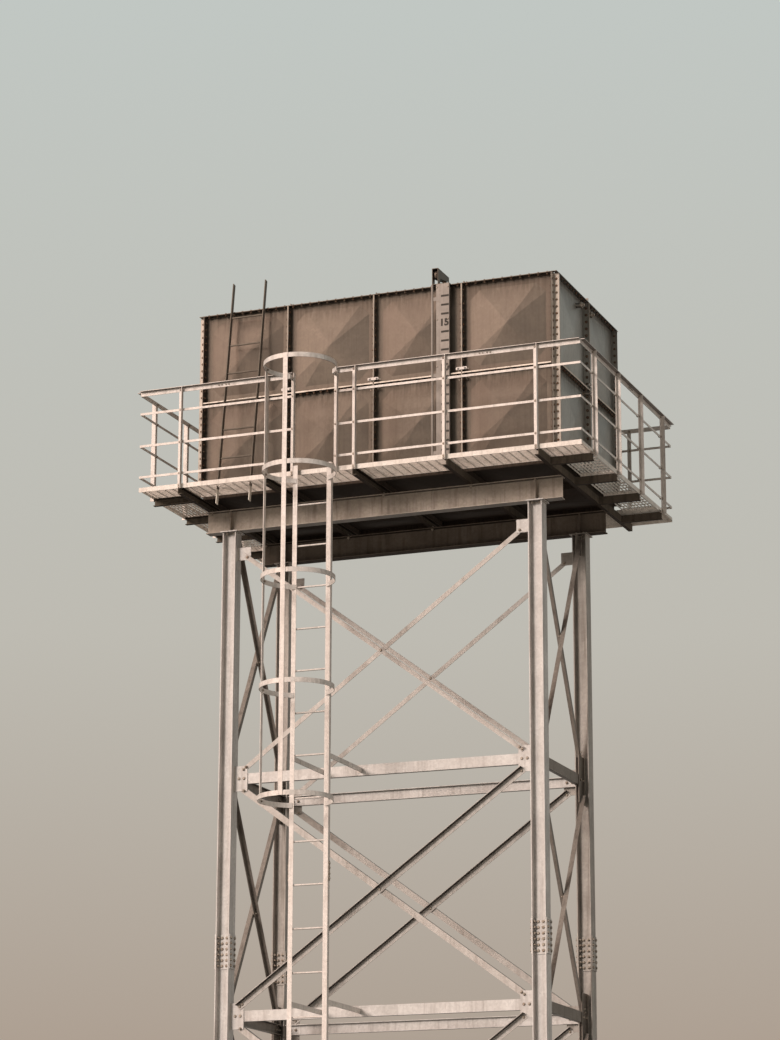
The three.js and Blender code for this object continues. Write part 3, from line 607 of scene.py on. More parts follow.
# Open bar gratings in panels a metre long, with flat end bars and twisted cross rods. The
# bars are 40 mm apart, a little coarser than usual, as the photograph's texture is.
gratingSetup = {
    "barPitch": 0.040, "barThickness": 0.004, "barDepth": 0.018, "endDepth": 0.030,
    "rodPitch": 0.100, "rodCorner": 0.0063, "rodDrop": 0.00675, "rodInset": 0.001,
    "rodClear": 0.006, "twist": 0.060, "nosingDepth": 0.050, "nosingThickness": 0.005,
    "panelGap": 0.006, "shortest": 0.01,
    "longBreaks": (-2, -1, 0, 1, 2), "sideBreaks": (midY - 0.4, midY + 0.4),
}


def twistedRod(start, end):    # square rod that turns once in each length of twist
    g = gratingSetup
    start, end = Vector(start), Vector(end)
    count = max(2, int((end - start).length / (g["twist"] / 4)))
    along = (end - start).normalized()
    side = along.cross(up).normalized()
    other = side.cross(along)
    points = []
    for i in range(count + 1):
        middle = start.lerp(end, i / count)
        for j in range(4):
            turn = math.pi / 2 * (i + j) - math.pi / 8 * (i % 2)
            points.append(middle + (side * math.cos(turn) + other * math.sin(turn))
                          * g["rodCorner"])
    return skinForm(points, 4)


# A grating fills the box of its node. Bars run along axis run, breaks are where its panels
# end, its nosing is on side outer, and bars and rods stop short of the holes.
def barGrating(name, run, breaks, outer, holes=()):
    g = gratingSetup
    t = g["barThickness"]
    low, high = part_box("walkway_" + name)
    across = 1 - run
    forms = []

    def bar(a0, a1, c0, c1, drop):
        ends = [[0, 0, high.z - drop], [0, 0, high.z]]
        for end, a, c in zip(ends, (a0, a1), (c0, c1)):
            end[run], end[across] = a, c
        forms.append(boxForm(*ends))

    def besideHoles(a0, a1, c0, c1):    # what is left of a bar from a0 to a1
        spans = [(a0, a1)]
        for hole in holes:
            if c1 > hole[0][across] and c0 < hole[1][across]:
                spans = [part for s0, s1 in spans for part in
                         ((s0, min(s1, hole[0][run])), (max(s0, hole[1][run]), s1))
                         if part[1] - part[0] > g["shortest"]]
        return spans

    near, far = low[across], high[across]
    if outer < 0:
        bar(low[run], high[run], near, near + g["nosingThickness"], g["nosingDepth"])
        near += g["nosingThickness"]
    else:
        bar(low[run], high[run], far - g["nosingThickness"], far, g["nosingDepth"])
        far -= g["nosingThickness"]
    count = round((far - near - t) / g["barPitch"])
    stops = [low[run], *breaks, high[run]]
    for a0, a1 in zip(stops, stops[1:]):
        a0 += 0 if a0 == low[run] else g["panelGap"] / 2
        a1 -= 0 if a1 == high[run] else g["panelGap"] / 2
        bar(a0, a0 + t, near, far, g["endDepth"])
        bar(a1 - t, a1, near, far, g["endDepth"])
        for i in range(count + 1):
            c = near + (far - near - t) * i / count
            for s0, s1 in besideHoles(a0 + t, a1 - t, c, c + t):
                bar(s0, s1, c, c + t, g["barDepth"])
        rods = round((a1 - a0) / g["rodPitch"])
        for i in range(rods):
            a = a0 + (a1 - a0) * (i + 0.5) / rods
            clear = g["rodClear"]
            if any(hole[0][run] - clear < a < hole[1][run] + clear for hole in holes):
                continue
            ends = [[0, 0, high.z - g["rodDrop"]] for _ in range(2)]
            for end, c in zip(ends, (near + g["rodInset"], far - g["rodInset"])):
                end[run], end[across] = a, c
            forms.append(twistedRod(*ends))
    makePiece("grating_" + name, forms, "galvanised steel, gratings",
              ["walkway_" + name])


# The tank ladder leans, so its stiles pass the deck a little behind their feet
stileHole = {"inset": 0.004, "half": 0.012, "front": -1.44, "back": -1.33}


def stileHoles():
    s = stileHole
    low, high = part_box("tank_ladder")
    return [((x - s["half"], midY + s["front"], 0), (x + s["half"], midY + s["back"], 0))
            for x in (low.x + s["inset"], high.x - s["inset"])]


barGrating("front", 0, gratingSetup["longBreaks"], -1, stileHoles())
barGrating("back", 0, gratingSetup["longBreaks"], 1)
barGrating("right", 1, gratingSetup["sideBreaks"], 1)
barGrating("left", 1, gratingSetup["sideBreaks"], -1)
print("gratings")

# Each wall faces out. Depth is how far its sheet is from the middle of the tank, half is half
# its length, and its end row of bolts and level bead stop where the corner angle lets them.
longSide = {"depth": 1, "half": 2, "endRow": 2, "endInset": 0.03, "topInset": 0, "bead": 1.99}
shortSide = {"depth": 2, "half": 1, "endRow": 0.99485, "endInset": 0.05, "topInset": 0.02,
             "bead": 0.98}
walls = {
    "front": {**longSide, "out": (0, -1, 0)}, "back": {**longSide, "out": (0, 1, 0)},
    "left": {**shortSide, "out": (-1, 0, 0)}, "right": {**shortSide, "out": (1, 0, 0)},
}
tiers = ((wallLow, wallMiddle), (wallMiddle, wallHigh))


# A place along a wall from its middle, and out from its sheet
def onWall(name, along, out, z):
    wall = walls[name]
    x, y = [way * (wall["depth"] + out) for way in wall["out"][:2]]
    return at(x + along * abs(wall["out"][1]), y + along * abs(wall["out"][0]), z)


def wallJoints(name):    # upright joints between its panels
    half = walls[name]["half"]
    return range(1 - half, half)


def wallWays(name):    # along the wall, and out of it
    x, y, _ = walls[name]["out"]
    return Vector((abs(y), abs(x), 0)), Vector((x, y, 0))


# Bolts through the flanges between the panels
panelBolts = {
    "perPanel": 12, "topPerPanel": 10, "out": 0.037, "inset": 0.03,
    "joint": 0.012, "corner": 0.0126, "top": 0.0113,    # what they grip
    "topOut": 0.040, "topDrop": 0.00035, "underGauge": (0.65, 0.90),
}


def underGauge(spot):    # the foot plate of the gauge hood lies there
    low, high = panelBolts["underGauge"]
    return low < spot.x < high and spot.y < midY


def wallBolts(name):
    p, w = panelBolts, walls[name]
    inset, half = p["inset"], w["half"]
    across = wallWays(name)[0]
    forms = []

    def row(a0, z0, a1, z1, along, grip, count=p["perPanel"], size="m16", out=p["out"],
            skip=None):
        return boltRow(onWall(name, a0, out, z0), onWall(name, a1, out, z1), along, grip, count,
                       size, skip)

    for z0, z1 in tiers:
        for joint in wallJoints(name):
            forms += row(joint, z0 + inset, joint, z1 - inset, across, p["joint"])
        for way in (-1, 1):
            end = way * w["endRow"]
            forms += row(end, z0 + w["endInset"], end, z1 - inset, across * way, p["corner"],
                         size="m12")
    top = wallHigh - p["topDrop"]
    for i in range(-half, half):
        for z in (wallMiddle, wallLow):
            forms += row(i + inset, z, i + 1 - inset, z, up, p["joint"])
        forms += row(i + w["topInset"], top, i + 1 - w["topInset"], top, up, p["top"],
                     p["topPerPanel"], "m12", p["topOut"], underGauge)
    return forms


# Where a stay ends inside, four bolts on square washers stand round the crossing of joints.
# Two flat straps bridge the flange tips there, on studs from the wall.
stays = {
    "across": 0.038, "up": 0.045, "washer": 0.040, "plate": 0.005,
    "upper": (0.062, 0.015), "lower": (0.046, 0.011),    # straps, half across and half up
    "thickness": 0.006, "tip": 0.0722, "stud": 0.006, "studStart": 0.018, "studSpare": 0.006,
}


def stayBolts(name):
    s, forms = stays, []
    across, out = wallWays(name)
    for joint in wallJoints(name):
        for a in (-1, 1):
            for b in (-1, 1):
                spot = onWall(name, joint, 0, wallMiddle + b * s["up"]) + across * a * s["across"]
                forms.append(squareWasher(spot, out, s["washer"], s["plate"]))
                forms += boltEnd(spot + out * s["plate"], out, "m16")
    return forms


def stayStraps(name):
    s, forms = stays, []
    across, out = wallWays(name)
    thickness = s["thickness"] * across.cross(up).dot(out)
    stud = turnedForm([(s["stud"], s["studStart"]), (s["stud"], s["tip"] + s["studSpare"])], 8)
    for joint in wallJoints(name):
        for b, strap in ((1, "upper"), (-1, "lower")):
            half, halfHeight = s[strap]
            inner = onWall(name, joint, s["tip"], wallMiddle + b * s["up"])
            forms.append(plateForm(trimmedRectangle(half, halfHeight, halfHeight / 2), inner,
                                   across, up, thickness))
            for a in (-1, 1):
                spot = inner + across * a * s["across"]
                forms.append(placed(stud, facing(spot - out * s["tip"], out)))
                forms += boltEnd(spot + out * s["thickness"], out, "m12")
    return forms


for name in walls:
    makePiece("panel_bolts_" + name, wallBolts(name), "rusted bolts, tank")
    makePiece("stay_bolts_" + name, stayBolts(name), "zinc-plated bolts")
    makePiece("stay_straps_" + name, stayStraps(name), "galvanised flat bar, stay straps")

# Angles outside the four corners, which the end flanges of two walls are bolted to
cornerSetup = {"leg": 0.066, "thickness": 0.006, "root": 0.003, "x": 2.0003, "y": 0.9950,
               "foot": 0.012, "short": 0.018}


def cornerAngles():
    c = cornerSetup
    leg, t = c["leg"], c["thickness"]
    root = t + c["root"]
    section = [(0, 0), (leg, 0), (leg, t), (root, t), (t, root), (t, leg), (0, leg)]
    height = wallHigh - wallLow - c["short"]
    forms = []
    for sx in (-1, 1):
        for sy in (-1, 1):
            forms.append(plateForm([(sx * a, sy * b) for a, b in section],
                                   at(sx * c["x"], sy * c["y"], wallLow + c["foot"]),
                                   (1, 0, 0), (0, 1, 0), height))
    makePiece("corner_angles", forms, "galvanised steel, corner angles with painted highlight")


# Flat bars on the top flanges, which hold the edge of the roof down
roofBars = {"inner": 0.020, "outer": 0.060, "gap": 0.0003, "thickness": 0.005,
            "longBar": (0.0005, 2.06), "shortBar": (0.009, 1.018)}


def roofEdgeBars():
    r = roofBars
    low = wallHigh + r["gap"]
    high = low + r["thickness"]
    forms = []
    for side in (-1, 1):
        near, far = sorted((side * r["inner"], side * r["outer"]))
        for way in (-1, 1):
            x0, x1 = sorted(way * x for x in r["longBar"])
            y0, y1 = sorted(way * y for y in r["shortBar"])
            forms.append(boxForm(at(x0, side + near, low), at(x1, side + far, high)))
            forms.append(boxForm(at(2 * side + near, y0, low), at(2 * side + far, y1, high)))
    makePiece("roof_edge_bars", forms, "zinc-coated sheet steel, roof")


# Mastic squeezed out along the flange tips, in beads of uneven width
mastic = {"width": 0.0155, "proud": 0.0015, "step": 0.05, "sunk": 0.004, "widths": (0.78, 1.12),
          "lifts": (0.5, 1.0), "uprightTip": 0.070, "levelTip": 0.068, "crossingGap": 0.010,
          "endGap": 0.006}


def masticBead(start, end, across, out):
    m = mastic
    count = max(2, round((end - start).length / m["step"]))
    points = []
    for i in range(count + 1):
        spot = start.lerp(end, i / count)
        half = across * (m["width"] / 2 * dice.uniform(*m["widths"]))
        lift, sunk = out * (m["proud"] * dice.uniform(*m["lifts"])), out * m["sunk"]
        points += [spot - half - sunk, spot - half, spot - half * 0.5 + lift,
                   spot + half * 0.5 + lift, spot + half, spot + half - sunk]
    return skinForm(points, 6)


def jointMastic():
    m = mastic
    gap, end = m["crossingGap"], m["endGap"]
    uprights, levels = [], []
    for sides in (("front", "left"), ("back", "right")):
        for low, high in ((wallLow + end, wallMiddle - gap), (wallMiddle + gap, wallHigh - end)):
            for name in sides:
                across, out = wallWays(name)
                for joint in wallJoints(name):
                    ends = [onWall(name, joint, m["uprightTip"], z) for z in (low, high)]
                    uprights.append(masticBead(*ends, across, out))
        for name in sides:
            half = walls[name]["bead"]
            ends = [onWall(name, a, m["levelTip"], wallMiddle) for a in (-half, half)]
            levels.append(masticBead(*ends, up, wallWays(name)[1]))
    makePiece("joint_mastic_upright", uprights, "mastic in painted shade, upright joints")
    makePiece("joint_mastic_level", levels, "weathered mastic, panel joints")


cornerAngles()
roofEdgeBars()
jointMastic()
print("tank joints")

# Tower steelwork: places are measured from the middle of the four legs
towerSetup = {
    "middle": (-0.026, -0.025), "legX": 1.7375, "legY": 0.725, "rings": (2.486, 4.972, 7.458),
    "top": 10.160, "legHalf": 0.076, "webHalf": 0.0035, "gussetHalf": 0.005,
}
frontAndBack = (("front", -1), ("back", 1))
leftAndRight = (("left", -1), ("right", 1))


def steelAt(x, y, z):
    return at(x + towerSetup["middle"][0], y + towerSetup["middle"][1], z)


legFixings = {
    "spliceRows": (5.495, 5.553, 5.611, 5.669, 5.727, 5.785), "flangeColumn": 0.045,
    "flangeGrip": 0.020, "webColumn": 0.026, "webGrip": 0.027,
    "anchorAt": 0.125, "plateTop": 0.025, "anchorWasher": 0.06, "anchorSheet": 0.006,
    "capBottom": 10.148, "capBolt": 0.040, "capLevel": 10.15915, "capGrip": 0.0223,
    "weld": 0.008, "webWeldInset": 0.012, "gussetWeld": 0.006,
    "gussets": ((0.180, 0.320), (2.351, 2.621), (4.837, 5.107), (7.323, 7.593), (9.840, 9.980)),
    "sideGussets": ((0.030, 0.230), (2.236, 2.736), (4.722, 5.222), (7.208, 7.708),
                    (9.930, 10.130)),
}


def legBolts(sx, sy):
    t, f = towerSetup, legFixings
    x, y = sx * t["legX"], sy * t["legY"]
    forms = []
    for z in f["spliceRows"]:
        for side in (-1, 1):
            for column in (-1, 1):
                spot = steelAt(x + side * t["legHalf"], y + column * f["flangeColumn"], z)
                forms += boltThrough(spot, (side, 0, 0), f["flangeGrip"], "m16")
            forms += boltThrough(steelAt(x + side * f["webColumn"], y, z), (0, sy, 0),
                                 f["webGrip"], "m16")
    for a in (-1, 1):
        for b in (-1, 1):
            spot = steelAt(x + a * f["anchorAt"], y + b * f["anchorAt"], f["plateTop"])
            forms.append(squareWasher(spot, up, f["anchorWasher"], f["anchorSheet"]))
            forms += boltEnd(spot + up * f["anchorSheet"], up, "m24")
            spot = steelAt(x + a * f["capBolt"], y + b * f["capBolt"], f["capLevel"])
            forms += boltThrough(spot, up, f["capGrip"], "m16")
    return forms


def legWelds(sx, sy):
    t, f = towerSetup, legFixings
    x, y, h, w, g = sx * t["legX"], sy * t["legY"], t["legHalf"], t["webHalf"], t["gussetHalf"]
    web = h - f["webWeldInset"]
    forms = []
    for z, way in ((f["plateTop"], 1), (f["capBottom"], -1)):
        for side in (-1, 1):
            forms.append(weldBead(steelAt(x + side * h, y - h, z), steelAt(x + side * h, y + h, z),
                                  (side, 0, 0), (0, 0, way), f["weld"]))
            forms.append(weldBead(steelAt(x - web, y + side * w, z),
                                  steelAt(x + web, y + side * w, z),
                                  (0, side, 0), (0, 0, way), f["weld"]))
    for side in (-1, 1):
        for places, a, b, wayA, wayB in (
                (f["gussets"], x - sx * h, y + side * g, (-sx, 0, 0), (0, side, 0)),
                (f["sideGussets"], x + side * g, y - sy * w, (0, -sy, 0), (side, 0, 0))):
            for low, high in places:
                forms.append(weldBead(steelAt(a, b, low), steelAt(a, b, high), wayA, wayB,
                                      f["gussetWeld"]))
    return forms


for nameY, sy in frontAndBack:
    for nameX, sx in leftAndRight:
        makePiece(f"leg_bolts_{nameY}_{nameX}", legBolts(sx, sy), "zinc-plated bolts")
        makePiece(f"leg_welds_{nameY}_{nameX}", legWelds(sx, sy), "galvanised weld runs")

# Bolts at the ends and crossings of the braces: above and below are measured from each ring,
# fromEnd from the ground and from the tower's top
faceBracing = {
    "above": 0.086, "topAbove": 0.086, "below": 0.111, "fromEnd": 0.275, "end": 1.5715,
    "out": 0.00315, "grip": 0.0163, "lowerBolts": (0.020, 0.056), "upperBolts": (0.030,),
    "crossGrip": 0.0226, "ringBolts": (1.549, 1.607), "ringIn": 0.00365, "ringGrip": 0.0173,
}
sideBracing = {
    "above": 0.030, "topAbove": 0.242, "below": 0.180, "fromEnd": 0.100, "end": 0.620,
    "out": 0.002, "grip": 0.014, "bolts": (0.022, 0.060), "crossGrip": 0.018,
    "ringBolts": (0.578, 0.665), "ringIn": 0.003, "ringGrip": 0.016,
}
packerSetup = {"radius": 0.024, "half": 0.0053}


def bays(b):
    rings = towerSetup["rings"]
    lows = [b["fromEnd"], rings[0] + b["above"], rings[1] + b["above"], rings[2] + b["topAbove"]]
    highs = [ring - b["below"] for ring in rings] + [towerSetup["top"] - b["fromEnd"]]
    return list(zip(lows, highs))


def packer(place, along):    # disc that fills the gap where two braces cross
    radius, half = packerSetup["radius"], packerSetup["half"]
    return placed(turnedForm([(radius, -half), (radius, half)], 16), facing(place, along))


def braceEndBolts(start, end, startBolts, endBolts, towards, grip, size):
    along = (end - start).normalized()
    forms = []
    for tip, way, reaches in ((start, along, startBolts), (end, -along, endBolts)):
        for reach in reaches:
            forms += boltThrough(tip + way * reach, towards, grip, size)
    return forms


def faceBracingBolts(sy):
    b = faceBracing
    y = sy * towerSetup["legY"]
    forms = []
    for i, (low, high) in enumerate(bays(b)):
        for rising in (True, False):
            towards = -1 if rising == (i < 3) else 1
            level = y + towards * b["out"]
            levels, bolts = [low, high], [b["lowerBolts"], b["upperBolts"]]
            if not rising:
                levels.reverse()
                bolts.reverse()
            forms += braceEndBolts(steelAt(-b["end"], level, levels[0]),
                                   steelAt(b["end"], level, levels[1]), *bolts,
                                   (0, towards, 0), b["grip"], "m16")
        crossing = steelAt(0, y, (low + high) / 2)
        forms += boltThrough(crossing, (0, -1, 0), b["crossGrip"], "m16")
        forms.append(packer(crossing, (0, 1, 0)))
    for z in towerSetup["rings"]:
        for side in (-1, 1):
            for x in b["ringBolts"]:
                forms += boltThrough(steelAt(side * x, y - sy * b["ringIn"], z), (0, sy, 0),
                                     b["ringGrip"], "m16")
    return forms


def sideBracingBolts(sx):
    b = sideBracing
    x = sx * towerSetup["legX"]
    forms = []
    for low, high in bays(b):
        for outwards in (1, -1):
            level = x + sx * outwards * b["out"]
            forms += braceEndBolts(steelAt(level, -outwards * b["end"], low),
                                   steelAt(level, outwards * b["end"], high), b["bolts"],
                                   b["bolts"], (sx * outwards, 0, 0), b["grip"], "m12")
        crossing = steelAt(x, 0, (low + high) / 2)
        forms += boltThrough(crossing, (sx, 0, 0), b["crossGrip"], "m12")
        forms.append(packer(crossing, (1, 0, 0)))
    for z in towerSetup["rings"]:
        for side in (-1, 1):
            for y in b["ringBolts"]:
                forms += boltThrough(steelAt(x - sx * b["ringIn"], side * y, z), (sx, 0, 0),
                                     b["ringGrip"], "m16")
    return forms


for nameY, sy in frontAndBack:
    makePiece("brace_bolts_" + nameY, faceBracingBolts(sy), "zinc-plated bolts")
for nameX, sx in leftAndRight:
    makePiece("brace_bolts_" + nameX, sideBracingBolts(sx), "zinc-plated bolts")
print("leg and bracing fixings")

# Stiffeners in the main beams over the legs, and the bolts that hold the joists down. The
# joist on the right has no beam flange to bolt through, and is welded.
beamFixings = {
    "bottom": 10.1703, "top": 10.3903, "webHalf": 0.0035, "stiffener": 0.008, "reach": 0.057,
    "snipe": 0.018, "weldFrom": 0.024, "weld": 0.006,
    "boltedJoists": (-2, -1, 0, 1), "toe": 0.006, "joistBolt": 0.034, "joistLevel": 10.39895,
    "joistGrip": 0.0173,
    "weldedJoist": {"x": 1.9768, "half": 0.058, "level": 10.4003, "weld": 0.007},
}


def beamStiffeners(sy):
    b = beamFixings
    y, s, reach = sy * towerSetup["legY"], b["snipe"], b["reach"]
    height = b["top"] - b["bottom"]
    outline = [(0, s), (s, 0), (reach, 0), (reach, height), (s, height), (0, height - s)]
    half = b["stiffener"] / 2
    forms = []
    for x in (-towerSetup["legX"], towerSetup["legX"]):
        for side in (-1, 1):
            corner = steelAt(x - half, y + side * b["webHalf"], b["bottom"])
            forms.append(plateForm(outline, corner, (0, side, 0), up, b["stiffener"] * side))
            for way in (-1, 1):
                ends = [steelAt(x + way * half, y + side * a, b["bottom"])
                        for a in (b["weldFrom"], reach)]
                forms.append(weldBead(*ends, (way, 0, 0), up, b["weld"]))
    return forms


def joistBolts():
    b = beamFixings
    w = b["weldedJoist"]
    forms = []
    for sy in (-1, 1):
        y = sy * towerSetup["legY"] + towerSetup["middle"][1]
        for x in b["boltedJoists"]:
            toes = -1 if x > 0 else 1
            for side in (-1, 1):
                spot = at(x + toes * b["toe"], y + side * b["joistBolt"], b["joistLevel"])
                forms += boltThrough(spot, up, b["joistGrip"], "m16")
        forms.append(weldBead(at(w["x"], y - w["half"], w["level"]),
                              at(w["x"], y + w["half"], w["level"]), (-1, 0, 0), up, w["weld"]))
    return forms


for nameY, sy in frontAndBack:
    makePiece("beam_stiffeners_" + nameY, beamStiffeners(sy),
              f"galvanised steel, {nameY} beam")
makePiece("joist_bolts", joistBolts(), "zinc-plated bolts")

# Saddle clips that hold the gratings to the joists
clipSetup = {"half": 0.030, "halfWidth": 0.013, "thickness": 0.003, "trim": 0.005,
             "longRows": (1.20, 1.47), "sideRow": 2.28, "sideAt": (-0.4, 0.4)}


def gratingClips():
    c = clipSetup
    outline = trimmedRectangle(c["half"], c["halfWidth"], c["trim"])
    spots = [(x, side * y, False) for x in range(-2, 3) for side in (-1, 1)
             for y in c["longRows"]]
    spots += [(side * c["sideRow"], y, True) for side in (-1, 1) for y in c["sideAt"]]
    forms = []
    for x, y, lengthways in spots:
        ways = ((0, 1, 0), (-1, 0, 0)) if lengthways else ((1, 0, 0), (0, 1, 0))
        place = at(x, y, deckTop)
        forms.append(plateForm(outline, place, *ways, c["thickness"]))
        forms += boltEnd(place + up * c["thickness"], up, "m8", "head")
    makePiece("grating_clips", forms, "zinc-plated bolts")


gratingClips()
print("beam and deck fixings")

# Bolts through the posts and rails, and the plates that join lengths of top rail. Each side is
# the front turned round, and its posts stand face metres out from the middle of the tank.
railFixings = {
    "footBolts": (0.037, 0.014), "knees": (0.115, 0.460, 0.820), "top": 1.042,
    "boltOffset": -0.007, "boltOut": 0.00015, "grip": 0.0103,
    "plateHalf": 0.08, "plateHalfDepth": 0.017, "plateThickness": 0.005, "plateTrim": 0.006,
    "plateOut": -0.0050, "plateBolts": (-0.058, -0.024, 0.024, 0.058), "plateBoltOut": -0.0018,
    "plateGrip": 0.0165,
}
sidePosts = (-1.2, -0.4, 0.4, 1.2)
railSides = {
    "front": {"turn": 0, "face": 1.590, "posts": (-2, -1, -0.695, -0.205, 0, 1, 2),
              "joints": (-1.5, 1.45)},
    "back": {"turn": math.pi, "face": 1.590, "posts": (-2, -1, 0, 1, 2), "joints": (-1.4, 0.5)},
    "right": {"turn": math.pi / 2, "face": 2.480, "posts": sidePosts, "joints": (0.1,)},
    "left": {"turn": -math.pi / 2, "face": 2.480, "posts": sidePosts, "joints": (-0.1,)},
}


def railBolts(rail):
    r = railFixings
    cos, sin = math.cos(rail["turn"]), math.sin(rail["turn"])
    outward = Vector((sin, -cos, 0))

    def spotOn(along, out, z):
        x, y = along, -(rail["face"] + out)
        return at(x * cos - y * sin, x * sin + y * cos, z)

    top = deckTop + r["top"]
    heights = [deckTop - z for z in r["footBolts"]] + [deckTop + z for z in r["knees"]] + [top]
    forms = []
    for post in rail["posts"]:
        for z in heights:
            forms += boltThrough(spotOn(post + r["boltOffset"], r["boltOut"], z), outward,
                                 r["grip"], "m12")
    outline = trimmedRectangle(r["plateHalf"], r["plateHalfDepth"], r["plateTrim"])
    for joint in rail["joints"]:
        forms.append(plateForm(outline, spotOn(joint, r["plateOut"], top), (-cos, -sin, 0), up,
                               r["plateThickness"]))
        for reach in r["plateBolts"]:
            forms += boltThrough(spotOn(joint + reach, r["plateBoltOut"], top), outward,
                                 r["plateGrip"], "m8")
    return forms


for name, rail in railSides.items():
    makePiece("handrail_bolts_" + name, railBolts(rail), "zinc-plated bolts")
print("handrail fixings")

# Access ladder: rungs welded into the stiles, lengths of stile joined, cage bolted
ladderFixings = {
    "x": -0.45, "inner": 0.210, "outer": 0.215, "rungY": -1.6153, "firstRung": 0.420,
    "rungPitch": 0.441, "rungs": 23,
    "collar": [(0.009, 0.006), (0.0115, 0.0054), (0.0148, 0.0018), (0.016, -0.001)],
    "jointLevels": (3.20, 6.28), "jointHalf": 0.100, "jointHalfWidth": 0.020,
    "jointThickness": 0.006, "jointBolts": (-0.075, -0.030, 0.030, 0.075), "jointOut": 0.0005,
    "jointGrip": 0.011, "padBolt": 0.030, "padY": -0.74485, "padGrip": 0.0143,
    "hoops": (11.52, 10.38, 9.24, 8.10, 6.96), "cageY": -1.980, "hoopBolt": 0.3825,
    "hoopGrip": 0.011, "hoopWeldX": 0.178, "hoopWeldY": -1.6405, "hoopWeldHalf": 0.022,
    "hoopWeld": 0.006,
}


def ladderWelds():
    f = ladderFixings
    collar = turnedForm(f["collar"], 12)
    forms = []
    for i in range(f["rungs"]):
        z = f["firstRung"] + i * f["rungPitch"]
        for side in (-1, 1):
            forms.append(placed(collar, facing(at(f["x"] + side * f["inner"], f["rungY"], z),
                                               (-side, 0, 0))))
    for z in f["hoops"][1:]:
        for side in (-1, 1):
            ends = [at(f["x"] + side * f["hoopWeldX"], f["hoopWeldY"], z + half)
                    for half in (-f["hoopWeldHalf"], f["hoopWeldHalf"])]
            forms.append(weldBead(*ends, (0, -1, 0), (side, 0, 0), f["hoopWeld"]))
    return forms


def ladderBolts():
    f = ladderFixings
    outline = rectangle(f["jointHalfWidth"], -f["jointHalf"], f["jointHalf"])
    forms = []
    for side in (-1, 1):
        x = f["x"] + side * f["outer"]
        for z in f["jointLevels"]:
            forms.append(plateForm(outline, at(x, f["rungY"], z), (0, side, 0), up,
                                   f["jointThickness"]))
            for reach in f["jointBolts"]:
                forms += boltThrough(at(x + side * f["jointOut"], f["rungY"], z + reach),
                                     (side, 0, 0), f["jointGrip"], "m12")
        for z in towerSetup["rings"]:
            forms += boltThrough(at(x - side * f["padBolt"], f["padY"], z), (0, -1, 0),
                                 f["padGrip"], "m12")
    for z in f["hoops"]:
        inner = f["cageY"] - f["hoopBolt"] + f["hoopGrip"] / 2
        forms += boltEnd(at(f["x"], inner, z), (0, 1, 0), "m12", "head")    # flush outside
        forms += boltThrough(at(f["x"] - f["hoopBolt"], f["cageY"], z), (-1, 0, 0), f["hoopGrip"],
                             "m12")
    return forms


makePiece("ladder_welds", ladderWelds(), "galvanised weld runs")
makePiece("ladder_bolts", ladderBolts(), "zinc-plated bolts")
print("ladder fixings")

# Manhole lid: a bent bar handle, two strap hinges and a hasp with its staple
manhole = {"x": -1.46, "y": -0.50, "lidTop": 12.6215, "half": 0.315}
handle = {"half": 0.065, "height": 0.045, "bend": 0.018, "radius": 0.006, "sunk": 0.004,
          "front": 0.17, "turns": (0.5, 1.0, 1.57),
          "collar": [(0.0125, -0.001), (0.010, 0.004), (0.0065, 0.006)]}
hinge = {"at": 0.19, "length": 0.16, "half": 0.016, "thickness": 0.004, "shoulder": 0.014,
         "point": 0.4, "bolts": (0.03, 0.075, 0.12), "gap": 0.002, "knuckle": 0.009,
         "knuckleOut": 0.006, "leaf": 0.052, "leafDrop": 0.055}
hasp = {"half": 0.016, "thickness": 0.003, "lap": 0.06, "back": 0.003, "out": 0.0005,
        "up": 0.001, "stapleDrop": 0.045, "stapleOut": 0.004, "stapleRadius": 0.0035,
        "tongue": [(-0.016, 0), (0.016, 0), (0.016, 0.062), (0.010, 0.070), (-0.010, 0.070),
                   (-0.016, 0.062)],
        "staple": [(-0.011, 0.004), (-0.011, -0.014), (-0.006, -0.020), (0.006, -0.020),
                   (0.011, -0.014), (0.011, 0.004)]}


def handleForms():
    d = handle
    h, bend, y = d["half"], d["bend"], manhole["y"] - d["front"]
    x, top, rise = manhole["x"], manhole["lidTop"], d["height"] - d["bend"]
    route = [(-h, -d["sunk"]), (-h, rise)]
    route += [(-h + bend - bend * math.cos(a), rise + bend * math.sin(a))
              for a in d["turns"]]
    route += [(h - bend + bend * math.sin(a), rise + bend * math.cos(a))
              for a in (0, *d["turns"])]
    route.append((h, -d["sunk"]))
    collar = turnedForm(d["collar"], 12)
    return [roundBar([at(x + a, y, top + b) for a, b in route], d["radius"])] + [
        placed(collar, facing(at(x + side * h, y, top), up)) for side in (-1, 1)]


def hingeForms(x):
    d, w = hinge, hinge["half"]
    y, top, t = manhole["y"] + manhole["half"], manhole["lidTop"], hinge["thickness"]
    strap = [(-w, 0), (w, 0), (w, d["length"] - d["shoulder"]), (w * d["point"], d["length"]),
             (-w * d["point"], d["length"]), (-w, d["length"] - d["shoulder"])]
    forms = [plateForm(strap, at(x, y - d["gap"], top), (-1, 0, 0), (0, -1, 0), t)]
    for reach in d["bolts"]:
        forms += boltEnd(at(x, y - reach, top + t), up, "m8", "head")
    forms.append(roundBar([at(x + a, y + d["knuckleOut"], top) for a in (-w, w)], d["knuckle"]))
    forms.append(plateForm(rectangle(w, 0, d["leaf"]), at(x, y + d["gap"], top - d["leafDrop"]),
                           (1, 0, 0), up, -t))
    return forms


